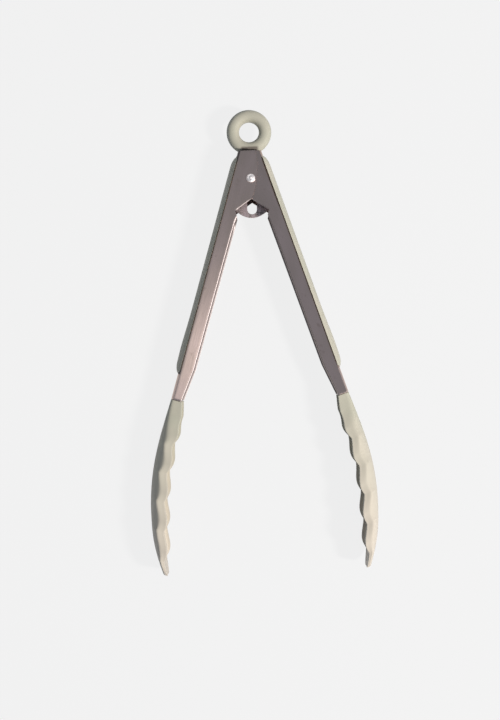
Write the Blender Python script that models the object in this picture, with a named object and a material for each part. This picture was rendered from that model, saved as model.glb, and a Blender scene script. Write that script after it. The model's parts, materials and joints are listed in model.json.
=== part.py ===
"""Locking kitchen tongs with scalloped silicone heads, lying open on their side.

X runs across the tongs, Y from the heads towards the hanging ring and Z along the hinge pin.
Each arm is drawn in its own frame, whose origin is on the hinge axis: "out" is measured from the
axis towards the arm's back, and "along" from the axis towards its head. The tongs stand with the
middle of their box on the origin and their lowest face on the ground.
"""

import math

import bmesh
import bpy
import numpy as np
from mathutils import Matrix, Vector

# Fits shared by all pieces
CLEARANCE = 0.0003
OVERRUN = 0.002

# Stamped steel arms
OPEN_ANGLE = math.radians(17.5)
CLOSE_TRAVEL = math.radians(14.1)
SHEET = 0.0009
WEB_OUT = 0.0124
ARM_WIDTH = 0.020
ARM_LENGTH = 0.1485
BEND_RADIUS = 0.0022
FLANGE_DEPTH_TOP = 0.0101
FLANGE_DEPTH_LOW = 0.0095
FLANGE_DEPTH_END = 0.0071
FLANGE_TAPER = 0.0215

# Ears round the hinge, and the V notch under it
EAR_TOP = 0.0177
EAR_TIP_OUT = 0.0019
EAR_BULGE = 0.0021
NOTCH_APEX = 0.0131
NOTCH_CORNER_OUT = 0.0041
NOTCH_CORNER_ALONG = 0.0225
NOTCH_CORNER_LENGTH = 0.0030
NECK_JOGGLE = 0.0048

# Pivot rivet and the sleeve that spaces the ears
RIVET_RADIUS = 0.0020
RIVET_HEAD_RADIUS = 0.00275
RIVET_HEAD_HEIGHT = 0.0013
RIVET_HEAD_EDGE = 0.0004
SLEEVE_WALL = 0.0005
WASHER_THICKNESS = 0.0008
WASHER_RADIUS = 0.0060

# Double torsion spring
WIRE_RADIUS = 0.00055
COIL_RADIUS = 0.0046
COIL_PITCH = 0.00162
COIL_TURNS = 2
POINTS_A_TURN = 9
LEG_REACH = 0.0240
LEG_BEND_POINTS = 4

# Lock plate, with shoulders that catch under the arms' tabs
LOCK_TRAVEL = 0.0180
PLATE_THICKNESS = 0.0015
PLATE_HALF_WIDTH = 0.0107
PLATE_ARC_RISE = 0.0050
PLATE_RIM = 0.0023
PLATE_SIDE_GAP = 0.0004
STEM_GAP = 0.0003

# Tabs lanced from the arms' webs, and the windows that they leave
TAB_ROOT_ALONG = 0.0136
TAB_TIP_ALONG = 0.0120
TAB_REACH = 0.00353
TAB_WIDTH = 0.0030
WINDOW_TOP = 0.0132
WINDOW_LOW = 0.0078

# Hanging ring, moulded round the eye of the lock plate, whose lower edge nests between the ears
RING_RADIUS = 0.0143
RING_HOLE_RADIUS = 0.0064
RING_THICKNESS = 0.0086
RING_NEST = 0.0009
EYE_COVER = 0.0016
EYE_WIDTH = 0.0024

# Silicone grips, which wrap round the bends of the arms' backs
GRIP_ABOVE_PIVOT = 0.0116
GRIP_SHORT_OF_END = 0.0165
GRIP_PROUD = 0.0027
GRIP_WRAP = 0.0015
GRIP_WIDTH = 0.022
GRIP_SWELL = 0.0005
GRIP_SWELL_FROM_END = 0.017
GRIP_SWELL_LENGTH = 0.014
GRIP_SWELL_SHARES = (-1.5, -1.0, -0.5, 0.0)
GRIP_END_ROUND = 0.007
GRIP_TIP_SHARE = 0.12
GRIP_FULLNESS = 2.6
PEG_COUNT = 3
PEG_RADIUS = 0.0020
PEG_HEAD_RADIUS = 0.0030
PEG_HEAD_THICKNESS = 0.0012

# Silicone heads and the nylon cores inside them
HEAD_LENGTH = 0.110
HEAD_CURL = 0.0251
HEAD_WIDTH = 0.028
HEAD_BAND = 0.0060
SKIN = 0.0009
CORE_WALL = 0.0015
CORE_EDGE_COVER = 0.0016
CORE_STEM = 0.0150
CORE_TIP_COVER = 0.0110
SCALLOP_DEPTH = 0.0017
SCALLOP_PITCH = 0.01815
SCALLOP_FIRST = 0.0099
TIP_ROUND = 0.022
POINTS_A_SCALLOP = 6
TIP_STEP_SHARES = (0.5, 0.125)
BAND_LIMIT_SHARE = 0.55
CREASE_INSET_SHARE = 0.47
HEAD_BACK_SHARES = (
    (0.0, 0.0),
    (0.13, 0.030),
    (0.27, 0.030),
    (0.40, -0.018),
    (0.55, -0.135),
    (0.70, -0.330),
    (0.85, -0.590),
    (1.0, -0.965),
)
HEAD_EDGE_SHARES = (
    (0.0, -0.283),
    (0.09, -0.375),
    (0.17, -0.415),
    (0.32, -0.454),
    (0.515, -0.562),
    (0.667, -0.721),
    (0.834, -0.924),
    (1.0, -1.100),
)
HEAD_WIDEN_SHARE = 0.28
TIP_WIDTH_SHARE = 0.36

# Flush rivets that hold the cores in the arms
CORE_RIVET_RADIUS = 0.0015
CORE_RIVET_HEAD_RADIUS = 0.0024
CORE_RIVET_TAIL_RADIUS = 0.0026
CORE_RIVET_TAIL_HEIGHT = 0.0008
CORE_RIVET_SEAT_SHARE = 0.9
CORE_RIVET_RIM_SHARE = 0.125

# Facets
SHARP_ANGLE = math.radians(35.0)
ROUND_SIDES = 32
CORNER_POINTS = 4
ARC_POINTS = 12
BACK_POINTS = 5
END_STEPS = 200
GRIP_SECTION_POINTS = 12
GRIP_END_POINTS = 5
RING_SIDES = 48
RING_SECTION_POINTS = 14
GAP_STEPS = 5

# Places worked out from the sizes above
FULL_HALF_WIDTH = ARM_WIDTH / 2
NECK_HALF_WIDTH = FULL_HALF_WIDTH - SHEET - CLEARANCE
EARS_INSIDE = NECK_HALF_WIDTH - SHEET
SLEEVE_INSIDE = RIVET_RADIUS + CLEARANCE
SLEEVE_RADIUS = SLEEVE_INSIDE + SLEEVE_WALL
SLOT_RADIUS = SLEEVE_RADIUS + CLEARANCE
SLOT_BOTTOM = LOCK_TRAVEL + SLOT_RADIUS + 2 * CLEARANCE
PLATE_BOTTOM = SLOT_BOTTOM + PLATE_RIM
WEB_IN = WEB_OUT - SHEET
NOTCH_END_ALONG = NOTCH_CORNER_ALONG + NOTCH_CORNER_LENGTH
NECK_TO = NOTCH_CORNER_ALONG
NECK_FROM = NECK_TO - NECK_JOGGLE
FLANGE_TAPER_FROM = ARM_LENGTH - FLANGE_TAPER
RING_CENTRE = EAR_TOP + RING_RADIUS - RING_NEST
GRIP_START = -GRIP_ABOVE_PIVOT
GRIP_END = ARM_LENGTH - GRIP_SHORT_OF_END
GRIP_SWELL_AT = GRIP_END - GRIP_SWELL_FROM_END
CORE_LENGTH = HEAD_LENGTH - CORE_TIP_COVER
CORE_RIVET_ALONG = ARM_LENGTH - CORE_STEM / 2

LEFT = -1
RIGHT = 1


def clear_scene():
    for item in list(bpy.data.objects):
        bpy.data.objects.remove(item, do_unlink=True)


def material(name, colour, roughness, metallic):
    made = bpy.data.materials.new(name)
    made.use_nodes = True
    shader = made.node_tree.nodes["Principled BSDF"]
    shader.inputs["Base Color"].default_value = (*colour, 1.0)
    shader.inputs["Roughness"].default_value = roughness
    shader.inputs["Metallic"].default_value = metallic
    made.diffuse_color = (*colour, 1.0)
    return made


def empty(name, parent=None, turn=0.0):
    """A frame on the hinge axis that pieces hang from."""
    made = bpy.data.objects.new(name, None)
    bpy.context.scene.collection.objects.link(made)
    made.rotation_euler = (0.0, 0.0, turn)
    made.parent = parent
    return made


def solid(name, points, faces):
    """A mesh object whose faces are turned outwards."""
    mesh = bpy.data.meshes.new(name)
    mesh.from_pydata([tuple(point) for point in points], [], faces)
    form = bmesh.new()
    form.from_mesh(mesh)
    bmesh.ops.recalc_face_normals(form, faces=form.faces)
    form.to_mesh(mesh)
    form.free()
    made = bpy.data.objects.new(name, mesh)
    bpy.context.scene.collection.objects.link(made)
    return made


def loft(name, rings):
    """A closed solid through rings of equally many points, flat at both ends.

    Its sides are triangles cut the same way, so that nested lofts keep their clearance.
    """
    count = len(rings[0])
    points = [point for ring in rings for point in ring]
    faces = []
    for row in range(len(rings) - 1):
        for column in range(count):
            after = (column + 1) % count
            low, high = row * count, (row + 1) * count
            faces.append((low + column, low + after, high + after))
            faces.append((low + column, high + after, high + column))
    faces.append(tuple(range(count)))
    faces.append(tuple(range(len(points) - count, len(points))))
    return solid(name, points, faces)


def prism(name, outline, low, high):
    """An outline in X and Y, carried from one height to another."""
    return loft(name, [[(x, y, z) for x, y in outline] for z in (low, high)])


def turned(name, profile, sides=ROUND_SIDES):
    """A closed profile of (radius, height) points turned round the Z axis."""
    angles = [2 * math.pi * step / sides for step in range(sides)]
    rings = [
        [(radius * math.cos(angle), radius * math.sin(angle), height) for radius, height in profile]
        for angle in angles
    ]
    count = len(profile)
    points = [point for ring in rings for point in ring]
    faces = []
    for step in range(sides):
        low = step * count
        high = (step + 1) % sides * count
        for column in range(count):
            after = (column + 1) % count
            faces.append((low + column, low + after, high + after, high + column))
    made = solid(name, points, faces)
    merge_axis_points(made)
    return made


def merge_axis_points(made):
    """Joins the points that a turned profile leaves on its own axis."""
    form = bmesh.new()
    form.from_mesh(made.data)
    bmesh.ops.remove_doubles(form, verts=form.verts, dist=CLEARANCE / ROUND_SIDES)
    bmesh.ops.dissolve_degenerate(form, edges=form.edges, dist=CLEARANCE / ROUND_SIDES)
    bmesh.ops.recalc_face_normals(form, faces=form.faces)
    form.to_mesh(made.data)
    form.free()


def combine(piece, other, operation):
    """Applies a Boolean to a piece and removes the other solid."""
    change = piece.modifiers.new(operation.lower(), "BOOLEAN")
    change.operation = operation
    change.solver = "EXACT"
    change.object = other
    bpy.context.view_layer.update()
    graph = bpy.context.evaluated_depsgraph_get()
    mesh = bpy.data.meshes.new_from_object(piece.evaluated_get(graph))
    piece.modifiers.clear()
    old = piece.data
    piece.data = mesh
    mesh.name = piece.name
    bpy.data.meshes.remove(old)
    bpy.data.objects.remove(other, do_unlink=True)
    return piece


def move(piece, matrix):
    piece.data.transform(matrix)
    return piece


def finish(piece, parent, look):
    """Hangs a piece from its frame and shades its round faces smooth."""
    piece.parent = parent
    piece.data.materials.clear()
    piece.data.materials.append(look)
    if piece.type == "MESH":
        piece.data.shade_smooth()
        piece.data.set_sharp_from_angle(angle=SHARP_ANGLE)
    return piece


def smooth_curve(shares, at):
    """The height at one place of a smooth curve through a table of (place, height) shares."""
    places = np.array([place for place, _ in shares])
    heights = np.array([height for _, height in shares])
    slopes = np.gradient(heights, places)
    index = int(np.clip(np.searchsorted(places, at) - 1, 0, len(places) - 2))
    width = places[index + 1] - places[index]
    part = (at - places[index]) / width
    start_weight = (1 + 2 * part) * (1 - part) ** 2
    end_weight = part**2 * (3 - 2 * part)
    start_pull = part * (1 - part) ** 2 * width
    end_pull = part**2 * (part - 1) * width
    height = start_weight * heights[index] + end_weight * heights[index + 1]
    return float(height + start_pull * slopes[index] + end_pull * slopes[index + 1])


def arc(centre, radius, start, end, count):
    """Points on an arc, from one angle to another."""
    return [
        (centre[0] + radius * math.cos(angle), centre[1] + radius * math.sin(angle))
        for angle in np.linspace(start, end, count)
    ]


def bowed(start, end, bulge, count):
    """Points on an arc between two points, which stands off its chord by the bulge on the left."""
    start, end = Vector(start), Vector(end)
    chord = end - start
    half = chord.length / 2
    side = Vector((-chord.y, chord.x)).normalized()
    shares = np.linspace(-1, 1, count)
    return [
        tuple((start + end) / 2 + chord.normalized() * half * share + side * bulge * (1 - share**2))
        for share in shares
    ]


def turn_point(x, y, angle):
    return (x * math.cos(angle) - y * math.sin(angle), x * math.sin(angle) + y * math.cos(angle))


def to_arm(x, y):
    """A place in the open tongs, as (out, along) of the right arm."""
    local_x, local_y = turn_point(x, y, -OPEN_ANGLE)
    return local_x, -local_y


def from_arm(out, along, spread):
    """A place on the right arm, in the frame of the tongs, with the arm spread by an angle."""
    return turn_point(out, -along, spread)


def mirrored(side, points):
    return [(side * out, -along, *rest) for out, along, *rest in points]


def arm_outline():
    """The side view of one arm, as (out, along), from the top of its back round to its end."""
    lean = math.tan(OPEN_ANGLE)
    top_at_axis = -EAR_TOP / math.cos(OPEN_ANGLE)
    apex = to_arm(0.0, -NOTCH_APEX)
    top_back = (WEB_OUT + OVERRUN, top_at_axis + (WEB_OUT + OVERRUN) * lean)
    ear_tip = (EAR_TIP_OUT, top_at_axis + EAR_TIP_OUT * lean)
    free_edge = bowed(ear_tip, apex, EAR_BULGE, ARC_POINTS)
    flange = [
        (NOTCH_CORNER_OUT, NOTCH_CORNER_ALONG),
        (WEB_OUT - FLANGE_DEPTH_TOP, NOTCH_END_ALONG),
        (WEB_OUT - FLANGE_DEPTH_LOW, FLANGE_TAPER_FROM),
        (WEB_OUT - FLANGE_DEPTH_END, ARM_LENGTH),
        (WEB_OUT + OVERRUN, ARM_LENGTH),
    ]
    return [top_back, *free_edge, *flange]


def channel_path(half_width, grow, reach):
    """The outside of the steel channel, grown by a distance: a U with round bends, as (out, z)."""
    web = WEB_OUT + grow
    width = half_width + grow
    radius = BEND_RADIUS + grow
    near = arc((web - radius, width - radius), radius, math.pi / 2, 0.0, CORNER_POINTS)
    far = [(out, -z) for out, z in reversed(near)]
    return [(reach, width), *near, *far, (reach, -width)]


def channel_ring(side, along, half_width, reach):
    """One section of the steel channel, open towards the other arm."""
    section = channel_path(half_width, 0.0, reach) + channel_path(half_width, -SHEET, reach)[::-1]
    return mirrored(side, [(out, along, z) for out, z in section])


def channel_stations(ear_half_width, start, end):
    """Places along the channel with its half-width there, narrower at the ears than below them."""
    return [
        (start, ear_half_width),
        (NECK_FROM, ear_half_width),
        (NECK_TO, FULL_HALF_WIDTH),
        (end, FULL_HALF_WIDTH),
    ]


def along_hole(side, name, profile, along):
    """A turned solid whose axis runs out through the web at one place along the arm."""
    made = turned(name, profile, ROUND_SIDES // 2)
    stand = Matrix.Rotation(side * math.pi / 2, 4, "Y")
    return move(made, Matrix.Translation((0.0, -along, 0.0)) @ stand)


def cylinder_profile(radius, low, high):
    return [(0.0, low), (radius, low), (radius, high), (0.0, high)]


def tab_line():
    """The middle of a tab's sheet, as (out, along) of its root and tip, and half its thickness."""
    root = Vector((WEB_OUT - SHEET / 2, -TAB_ROOT_ALONG))
    tip = Vector((WEB_OUT - TAB_REACH, -TAB_TIP_ALONG))
    run = (tip - root).normalized()
    return root, tip, Vector((-run.y, run.x)) * SHEET / 2


def tab_solid(side, name):
    """The catch: a strip of the web bent inwards at the top of its window."""
    root, tip, offset = tab_line()
    corners = [root + offset, tip + offset, tip - offset, root - offset]
    outline = mirrored(side, [tuple(corner) for corner in corners])
    return prism(name, outline, -TAB_WIDTH / 2, TAB_WIDTH / 2)


def arm(side, name, ear_half_width):
    """A stamped channel with two ears, a V notch, a lanced catch and its rivet and peg holes."""
    reach = -(NOTCH_APEX * math.sin(OPEN_ANGLE) + EAR_BULGE)
    top = -(EAR_TOP / math.cos(OPEN_ANGLE) + OVERRUN)
    stations = channel_stations(ear_half_width, top, ARM_LENGTH + OVERRUN)
    made = loft(name, [channel_ring(side, along, width, reach) for along, width in stations])
    outline = mirrored(side, arm_outline())
    outside = FULL_HALF_WIDTH + OVERRUN
    combine(made, prism(f"{name}_outline", outline, -outside, outside), "INTERSECT")

    window_half = TAB_WIDTH / 2 + CLEARANCE
    window = mirrored(
        side,
        [
            (WEB_IN - OVERRUN, -WINDOW_TOP),
            (WEB_IN - OVERRUN, -WINDOW_LOW),
            (WEB_OUT + OVERRUN, -WINDOW_LOW),
            (WEB_OUT + OVERRUN, -WINDOW_TOP),
        ],
    )
    combine(made, prism(f"{name}_window", window, -window_half, window_half), "DIFFERENCE")
    combine(made, tab_solid(side, f"{name}_tab"), "UNION")

    bore = cylinder_profile(RIVET_RADIUS + CLEARANCE, -outside, outside)
    combine(made, turned(f"{name}_bore", bore), "DIFFERENCE")
    peg_hole = cylinder_profile(PEG_RADIUS + CLEARANCE, WEB_IN - OVERRUN, WEB_OUT + OVERRUN)
    for along in peg_places():
        combine(made, along_hole(side, f"{name}_hole", peg_hole, along), "DIFFERENCE")
    rivet_hole = core_rivet_profile(CLEARANCE, WEB_OUT + OVERRUN, WEB_IN - OVERRUN)
    combine(made, along_hole(side, f"{name}_hole", rivet_hole, CORE_RIVET_ALONG), "DIFFERENCE")
    return made


def peg_places():
    """Even places between the spring's legs and the grip's end."""
    pitch = (GRIP_END - LEG_REACH) / (PEG_COUNT + 1)
    return [LEG_REACH + (number + 1) * pitch for number in range(PEG_COUNT)]


def grip_ring(side, along, size, proud):
    """One section of a grip before the arm is cut out of it, shrunk towards its ends."""
    base = WEB_OUT - GRIP_WRAP
    half_width = GRIP_WIDTH / 2 * size
    rise = GRIP_WRAP + proud * size
    section = []
    for angle in np.linspace(0.0, math.pi, GRIP_SECTION_POINTS):
        across = math.copysign(abs(math.cos(angle)) ** (2 / GRIP_FULLNESS), math.cos(angle))
        up = math.sin(angle) ** (2 / GRIP_FULLNESS) if 0 < angle < math.pi else 0.0
        section.append((base + rise * up, along, half_width * across))
    return mirrored(side, section)


def grip(side, name, ear_half_width):
    """A silicone pad that wraps the channel's back, held by mushroom pegs through the web."""
    ends = np.sin(np.linspace(GRIP_TIP_SHARE, 1.0, GRIP_END_POINTS) * math.pi / 2)
    start_round = [GRIP_START + GRIP_END_ROUND * (1 - math.sqrt(1 - size**2)) for size in ends]
    end_round = [GRIP_END - GRIP_END_ROUND * (1 - math.sqrt(1 - size**2)) for size in ends]
    swell_places = [GRIP_SWELL_AT + GRIP_SWELL_LENGTH * share for share in GRIP_SWELL_SHARES]
    stations = list(zip(start_round, ends))
    stations += [(along, 1.0) for along in swell_places]
    stations += list(zip(end_round[::-1], ends[::-1]))
    rings = []
    for along, size in sorted(stations):
        bump = math.exp(-(((along - GRIP_SWELL_AT) / GRIP_SWELL_LENGTH) ** 2))
        rings.append(grip_ring(side, along, size, GRIP_PROUD + GRIP_SWELL * bump))
    made = loft(name, rings)
    stations = channel_stations(ear_half_width, GRIP_START - OVERRUN, GRIP_END + OVERRUN)
    seat = []
    for along, half_width in stations:
        path = channel_path(half_width, CLEARANCE, WEB_OUT - GRIP_WRAP - OVERRUN)
        seat.append(mirrored(side, [(out, along, z) for out, z in path]))
    combine(made, loft(f"{name}_seat", seat), "DIFFERENCE")

    root = WEB_OUT + GRIP_PROUD / 2
    head = WEB_IN - CLEARANCE
    peg = [
        (0.0, root),
        (PEG_RADIUS, root),
        (PEG_RADIUS, head),
        (PEG_HEAD_RADIUS, head),
        (PEG_RADIUS, head - PEG_HEAD_THICKNESS),
        (0.0, head - PEG_HEAD_THICKNESS),
    ]
    for along in peg_places():
        combine(made, along_hole(side, f"{name}_peg", peg, along), "UNION")
    return made


def head_back(place):
    return WEB_OUT + HEAD_CURL * smooth_curve(HEAD_BACK_SHARES, place)


def head_half_width(place):
    """Half the head's width: it widens from the arm, runs straight and closes in a round tip."""
    part = min(max(place / HEAD_WIDEN_SHARE, 0.0), 1.0)
    full = FULL_HALF_WIDTH + (HEAD_WIDTH / 2 - FULL_HALF_WIDTH) * part**2 * (3 - 2 * part)
    past = (place - 1) * HEAD_LENGTH / TIP_ROUND + 1
    if past <= 0:
        return full
    return full * (TIP_WIDTH_SHARE + (1 - TIP_WIDTH_SHARE) * math.sqrt(max(1 - past**2, 0.0)))


def scallop(place):
    """How far the edge is drawn back between two lobes, and hardly before the first one's crest."""
    turns = (place * HEAD_LENGTH - SCALLOP_FIRST) / SCALLOP_PITCH
    fade = min(max(2 * turns, 0.0), 1.0)
    return SCALLOP_DEPTH * fade * (1 - abs(math.sin(math.pi * turns)))


def open_edge(along):
    """The edge that faces the other arm: the tapering channel's, and past its end the head's."""
    if along > ARM_LENGTH:
        return WEB_OUT + HEAD_CURL * smooth_curve(HEAD_EDGE_SHARES, (along - ARM_LENGTH) / HEAD_LENGTH)
    part = min(max((along - FLANGE_TAPER_FROM) / FLANGE_TAPER, 0.0), 1.0)
    return WEB_OUT - FLANGE_DEPTH_LOW + (FLANGE_DEPTH_LOW - FLANGE_DEPTH_END) * part


def back_arc(crease, back, width):
    """Points of the arc from the crease on one side to the middle of a broad back."""
    sagitta = back - crease
    radius = (width**2 + sagitta**2) / (2 * sagitta)
    swing = math.atan2(width, radius - sagitta)
    return arc((back - radius, 0.0), radius, swing, 0.0, BACK_POINTS)


def square_back(crease, back, width, corner):
    """The same points on a back as square as the steel channel's."""
    turn = arc((back - corner, width - corner), corner, math.pi / 2, 0.0, BACK_POINTS - 2)
    return [(min(crease, back - corner), width), *turn, (back, 0.0)]


def scoop_ring(side, along, inset, edge_out, drawn_back=0.0):
    """A section of the head, this far inside its outer skin and cut off flat at its edge.

    A flat band follows the edge, and ends in a crease. The back starts as square as the channel
    and turns into one broad arc from crease to crease.
    """
    place = (along - ARM_LENGTH) / HEAD_LENGTH
    skin_back = head_back(max(place, 0.0))
    back = skin_back - inset
    width = head_half_width(place) - inset
    lip = open_edge(along) + drawn_back
    band = min(HEAD_BAND, (skin_back - lip) * BAND_LIMIT_SHARE)
    crease = max(lip + band - inset * CREASE_INSET_SHARE, edge_out + CLEARANCE)
    crease = min(crease, back - CLEARANCE)
    corner = max(BEND_RADIUS - inset, CLEARANCE)
    share = min(max(place / HEAD_WIDEN_SHARE, 0.0), 1.0)
    near = [(edge_out, width)]
    for square, broad in zip(square_back(crease, back, width, corner), back_arc(crease, back, width)):
        near.append(tuple(Vector(square).lerp(Vector(broad), share)))
    section = near + [(out, -z) for out, z in reversed(near[:-1])]
    return mirrored(side, [(out, along, z) for out, z in section])


def head_stations(start, end):
    """Places along the head, closer together round the scallops and at the tip."""
    first = ARM_LENGTH + SCALLOP_FIRST
    step = SCALLOP_PITCH / POINTS_A_SCALLOP
    count = int((end - first) / step)
    lobes = [first + number * step for number in range(count + 1)]
    least = lobes[-1] + step * min(TIP_STEP_SHARES)
    tip = [end - step * share for share in TIP_STEP_SHARES]
    return [start, *lobes, *(along for along in tip if along > least), end]


def plain_stations(start, end):
    """Places along a scoop without scallops: its ends, every half lobe, and at the tip closer."""
    first = ARM_LENGTH + SCALLOP_FIRST
    tip_from = ARM_LENGTH + HEAD_LENGTH - TIP_ROUND
    step = SCALLOP_PITCH / 4
    low = math.ceil((start + CLEARANCE - first) / step)
    high = math.floor((end - CLEARANCE - first) / step)
    inner = [(number, first + number * step) for number in range(low, high + 1)]
    return [start, *(along for number, along in inner if number % 2 == 0 or along > tip_from), end]


def scoop(side, name, inset, wall, edge_inset, start, end, scalloped):
    """A U-shaped shell with this wall, whose hollow opens towards the other head."""
    places = head_stations(start, end) if scalloped else plain_stations(start, end)
    rings = []
    for along in places:
        place = (along - ARM_LENGTH) / HEAD_LENGTH
        drawn_back = scallop(place) if scalloped else 0.0
        cover = SCALLOP_DEPTH * min(max(place / HEAD_WIDEN_SHARE, 0.0), 1.0)
        edge = open_edge(along) + edge_inset + (drawn_back if scalloped else cover)
        rings.append(scoop_ring(side, along, inset, edge, drawn_back))
    made = loft(name, rings)

    hollow = []
    last = hollow_end(inset + wall, edge_inset + wall)
    for along in plain_stations(start - OVERRUN, min(last, end - wall)):
        hollow.append(scoop_ring(side, along, inset + wall, open_edge(along) - OVERRUN))
    return combine(made, loft(f"{name}_hollow", hollow), "DIFFERENCE")


def hollow_end(depth, least):
    """How far along the head a hollow at this depth is still open."""
    for along in np.linspace(ARM_LENGTH + HEAD_LENGTH, ARM_LENGTH, END_STEPS):
        back = head_back((along - ARM_LENGTH) / HEAD_LENGTH)
        if back - depth - open_edge(along) > least - SCALLOP_DEPTH:
            return along
    return ARM_LENGTH


def head(side, name):
    """A silicone scoop with scalloped edges, moulded round a pocket for its core."""
    wall = SKIN + CLEARANCE + CORE_WALL + CLEARANCE + SKIN
    start = ARM_LENGTH + CLEARANCE
    made = scoop(side, name, 0.0, wall, 0.0, start, ARM_LENGTH + HEAD_LENGTH, True)
    pocket_wall = CORE_WALL + 2 * CLEARANCE
    pocket_edge = CORE_EDGE_COVER - CLEARANCE
    pocket_end = ARM_LENGTH + CORE_LENGTH + CLEARANCE
    name = f"{name}_pocket"
    pocket = scoop(side, name, SKIN, pocket_wall, pocket_edge, start - OVERRUN, pocket_end, False)
    return combine(made, pocket, "DIFFERENCE")


def core(side, name):
    """A stiff nylon scoop whose stem fills the end of the steel channel."""
    inset = SKIN + CLEARANCE
    start = ARM_LENGTH - CORE_STEM
    end = ARM_LENGTH + CORE_LENGTH
    made = scoop(side, name, inset, CORE_WALL, CORE_EDGE_COVER, start, end, False)
    low = WEB_IN - CLEARANCE - CORE_WALL - OVERRUN
    hole = cylinder_profile(CORE_RIVET_RADIUS + CLEARANCE, low, WEB_OUT)
    return combine(made, along_hole(side, f"{name}_hole", hole, CORE_RIVET_ALONG), "DIFFERENCE")


def core_rivet_profile(grow, top, bottom):
    """A countersunk head on a shank, grown all round by the clearance that its hole needs."""
    seat = WEB_OUT - SHEET * CORE_RIVET_SEAT_SHARE
    return [
        (0.0, top),
        (CORE_RIVET_HEAD_RADIUS + grow, top),
        (CORE_RIVET_HEAD_RADIUS + grow, WEB_OUT - grow / 2),
        (CORE_RIVET_RADIUS + grow, seat),
        (CORE_RIVET_RADIUS + grow, bottom),
        (0.0, bottom),
    ]


def core_rivet(side, name):
    """A flush rivet through the web and the core's stem, spread to a low head inside."""
    tail = WEB_IN - CORE_WALL - 2 * CLEARANCE
    profile = core_rivet_profile(0.0, WEB_OUT, tail)
    profile[2] = (CORE_RIVET_HEAD_RADIUS, WEB_OUT - SHEET * CORE_RIVET_RIM_SHARE)
    end = tail - CORE_RIVET_TAIL_HEIGHT
    profile[-1:] = [
        (CORE_RIVET_TAIL_RADIUS, tail),
        (CORE_RIVET_RADIUS, end),
        (0.0, end),
    ]
    return along_hole(side, name, profile, CORE_RIVET_ALONG)


def catch_corners(spread):
    """The inner and the lower corner of a tab's tip, with the arms spread by an angle."""
    _, tip, offset = tab_line()
    corners = [from_arm(*(tip + offset), spread), from_arm(*(tip - offset), spread)]
    return min(x for x, _ in corners), min(y for _, y in corners)


def plate_outline():
    """The lock plate without its slot: a round lower end, shoulders, and a stem up to the eye."""
    open_x, open_y = catch_corners(OPEN_ANGLE)
    closed_x, _ = catch_corners(OPEN_ANGLE - CLOSE_TRAVEL)
    stem = open_x - STEM_GAP
    shoulder = closed_x - CLEARANCE
    shoulder_top = open_y - CLEARANCE - LOCK_TRAVEL
    web_at_axis = (WEB_IN - PLATE_SIDE_GAP) / math.cos(OPEN_ANGLE)
    lean = math.tan(OPEN_ANGLE)
    side_top = (web_at_axis - shoulder) / lean - LOCK_TRAVEL
    side_low = (web_at_axis - PLATE_HALF_WIDTH) / lean - LOCK_TRAVEL
    corner = PLATE_BOTTOM - PLATE_ARC_RISE
    stem_end = RING_CENTRE - math.sqrt(eye_radius() ** 2 - stem**2)
    half = [
        (stem, stem_end + EYE_WIDTH / 2),
        (stem, shoulder_top),
        (shoulder, shoulder_top),
        (shoulder, side_top),
        (PLATE_HALF_WIDTH, side_low),
        (PLATE_HALF_WIDTH, -corner),
    ]
    bottom = bowed(half[-1], (-PLATE_HALF_WIDTH, -corner), PLATE_ARC_RISE, ARC_POINTS)
    return half + bottom[1:-1] + [(-x, y) for x, y in reversed(half)]


def eye_radius():
    return RING_HOLE_RADIUS + EYE_COVER + EYE_WIDTH


def eye(name, grow):
    """The flat ring at the top of the lock plate."""
    inside = eye_radius() - EYE_WIDTH - grow
    outside = eye_radius() + grow
    half = PLATE_THICKNESS / 2 + grow
    profile = [(inside, -half), (outside, -half), (outside, half), (inside, half)]
    return move(turned(name, profile), Matrix.Translation((0.0, RING_CENTRE, 0.0)))


def lock_plate(name):
    half = PLATE_THICKNESS / 2
    made = prism(name, plate_outline(), -half, half)
    upper = arc((0.0, CLEARANCE), SLOT_RADIUS, 0.0, math.pi, ARC_POINTS)
    lower = arc((0.0, SLOT_RADIUS - SLOT_BOTTOM), SLOT_RADIUS, math.pi, 2 * math.pi, ARC_POINTS)
    slot = prism(f"{name}_slot", upper + lower, -half - OVERRUN, half + OVERRUN)
    combine(made, slot, "DIFFERENCE")
    return combine(made, eye(f"{name}_eye", 0.0), "UNION")


def pull_ring(name):
    """A round-sectioned hanging ring, with the slot and the hollow that the lock plate's eye fills."""
    width = RING_RADIUS - RING_HOLE_RADIUS
    middle = (RING_RADIUS + RING_HOLE_RADIUS) / 2
    profile = [
        (middle + width / 2 * math.cos(angle), RING_THICKNESS / 2 * math.sin(angle))
        for angle in np.linspace(0.0, 2 * math.pi, RING_SECTION_POINTS, endpoint=False)
    ]
    made = move(turned(name, profile, RING_SIDES), Matrix.Translation((0.0, RING_CENTRE, 0.0)))
    open_x, _ = catch_corners(OPEN_ANGLE)
    slot = open_x - STEM_GAP + CLEARANCE
    half = PLATE_THICKNESS / 2 + CLEARANCE
    mouth = [
        (-slot, RING_CENTRE - RING_RADIUS - OVERRUN),
        (slot, RING_CENTRE - RING_RADIUS - OVERRUN),
        (slot, RING_CENTRE - eye_radius() + EYE_WIDTH / 2),
        (-slot, RING_CENTRE - eye_radius() + EYE_WIDTH / 2),
    ]
    cavity = prism(f"{name}_mouth", mouth, -half, half)
    combine(cavity, eye(f"{name}_eye", CLEARANCE), "UNION")
    return combine(made, cavity, "DIFFERENCE")


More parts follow.
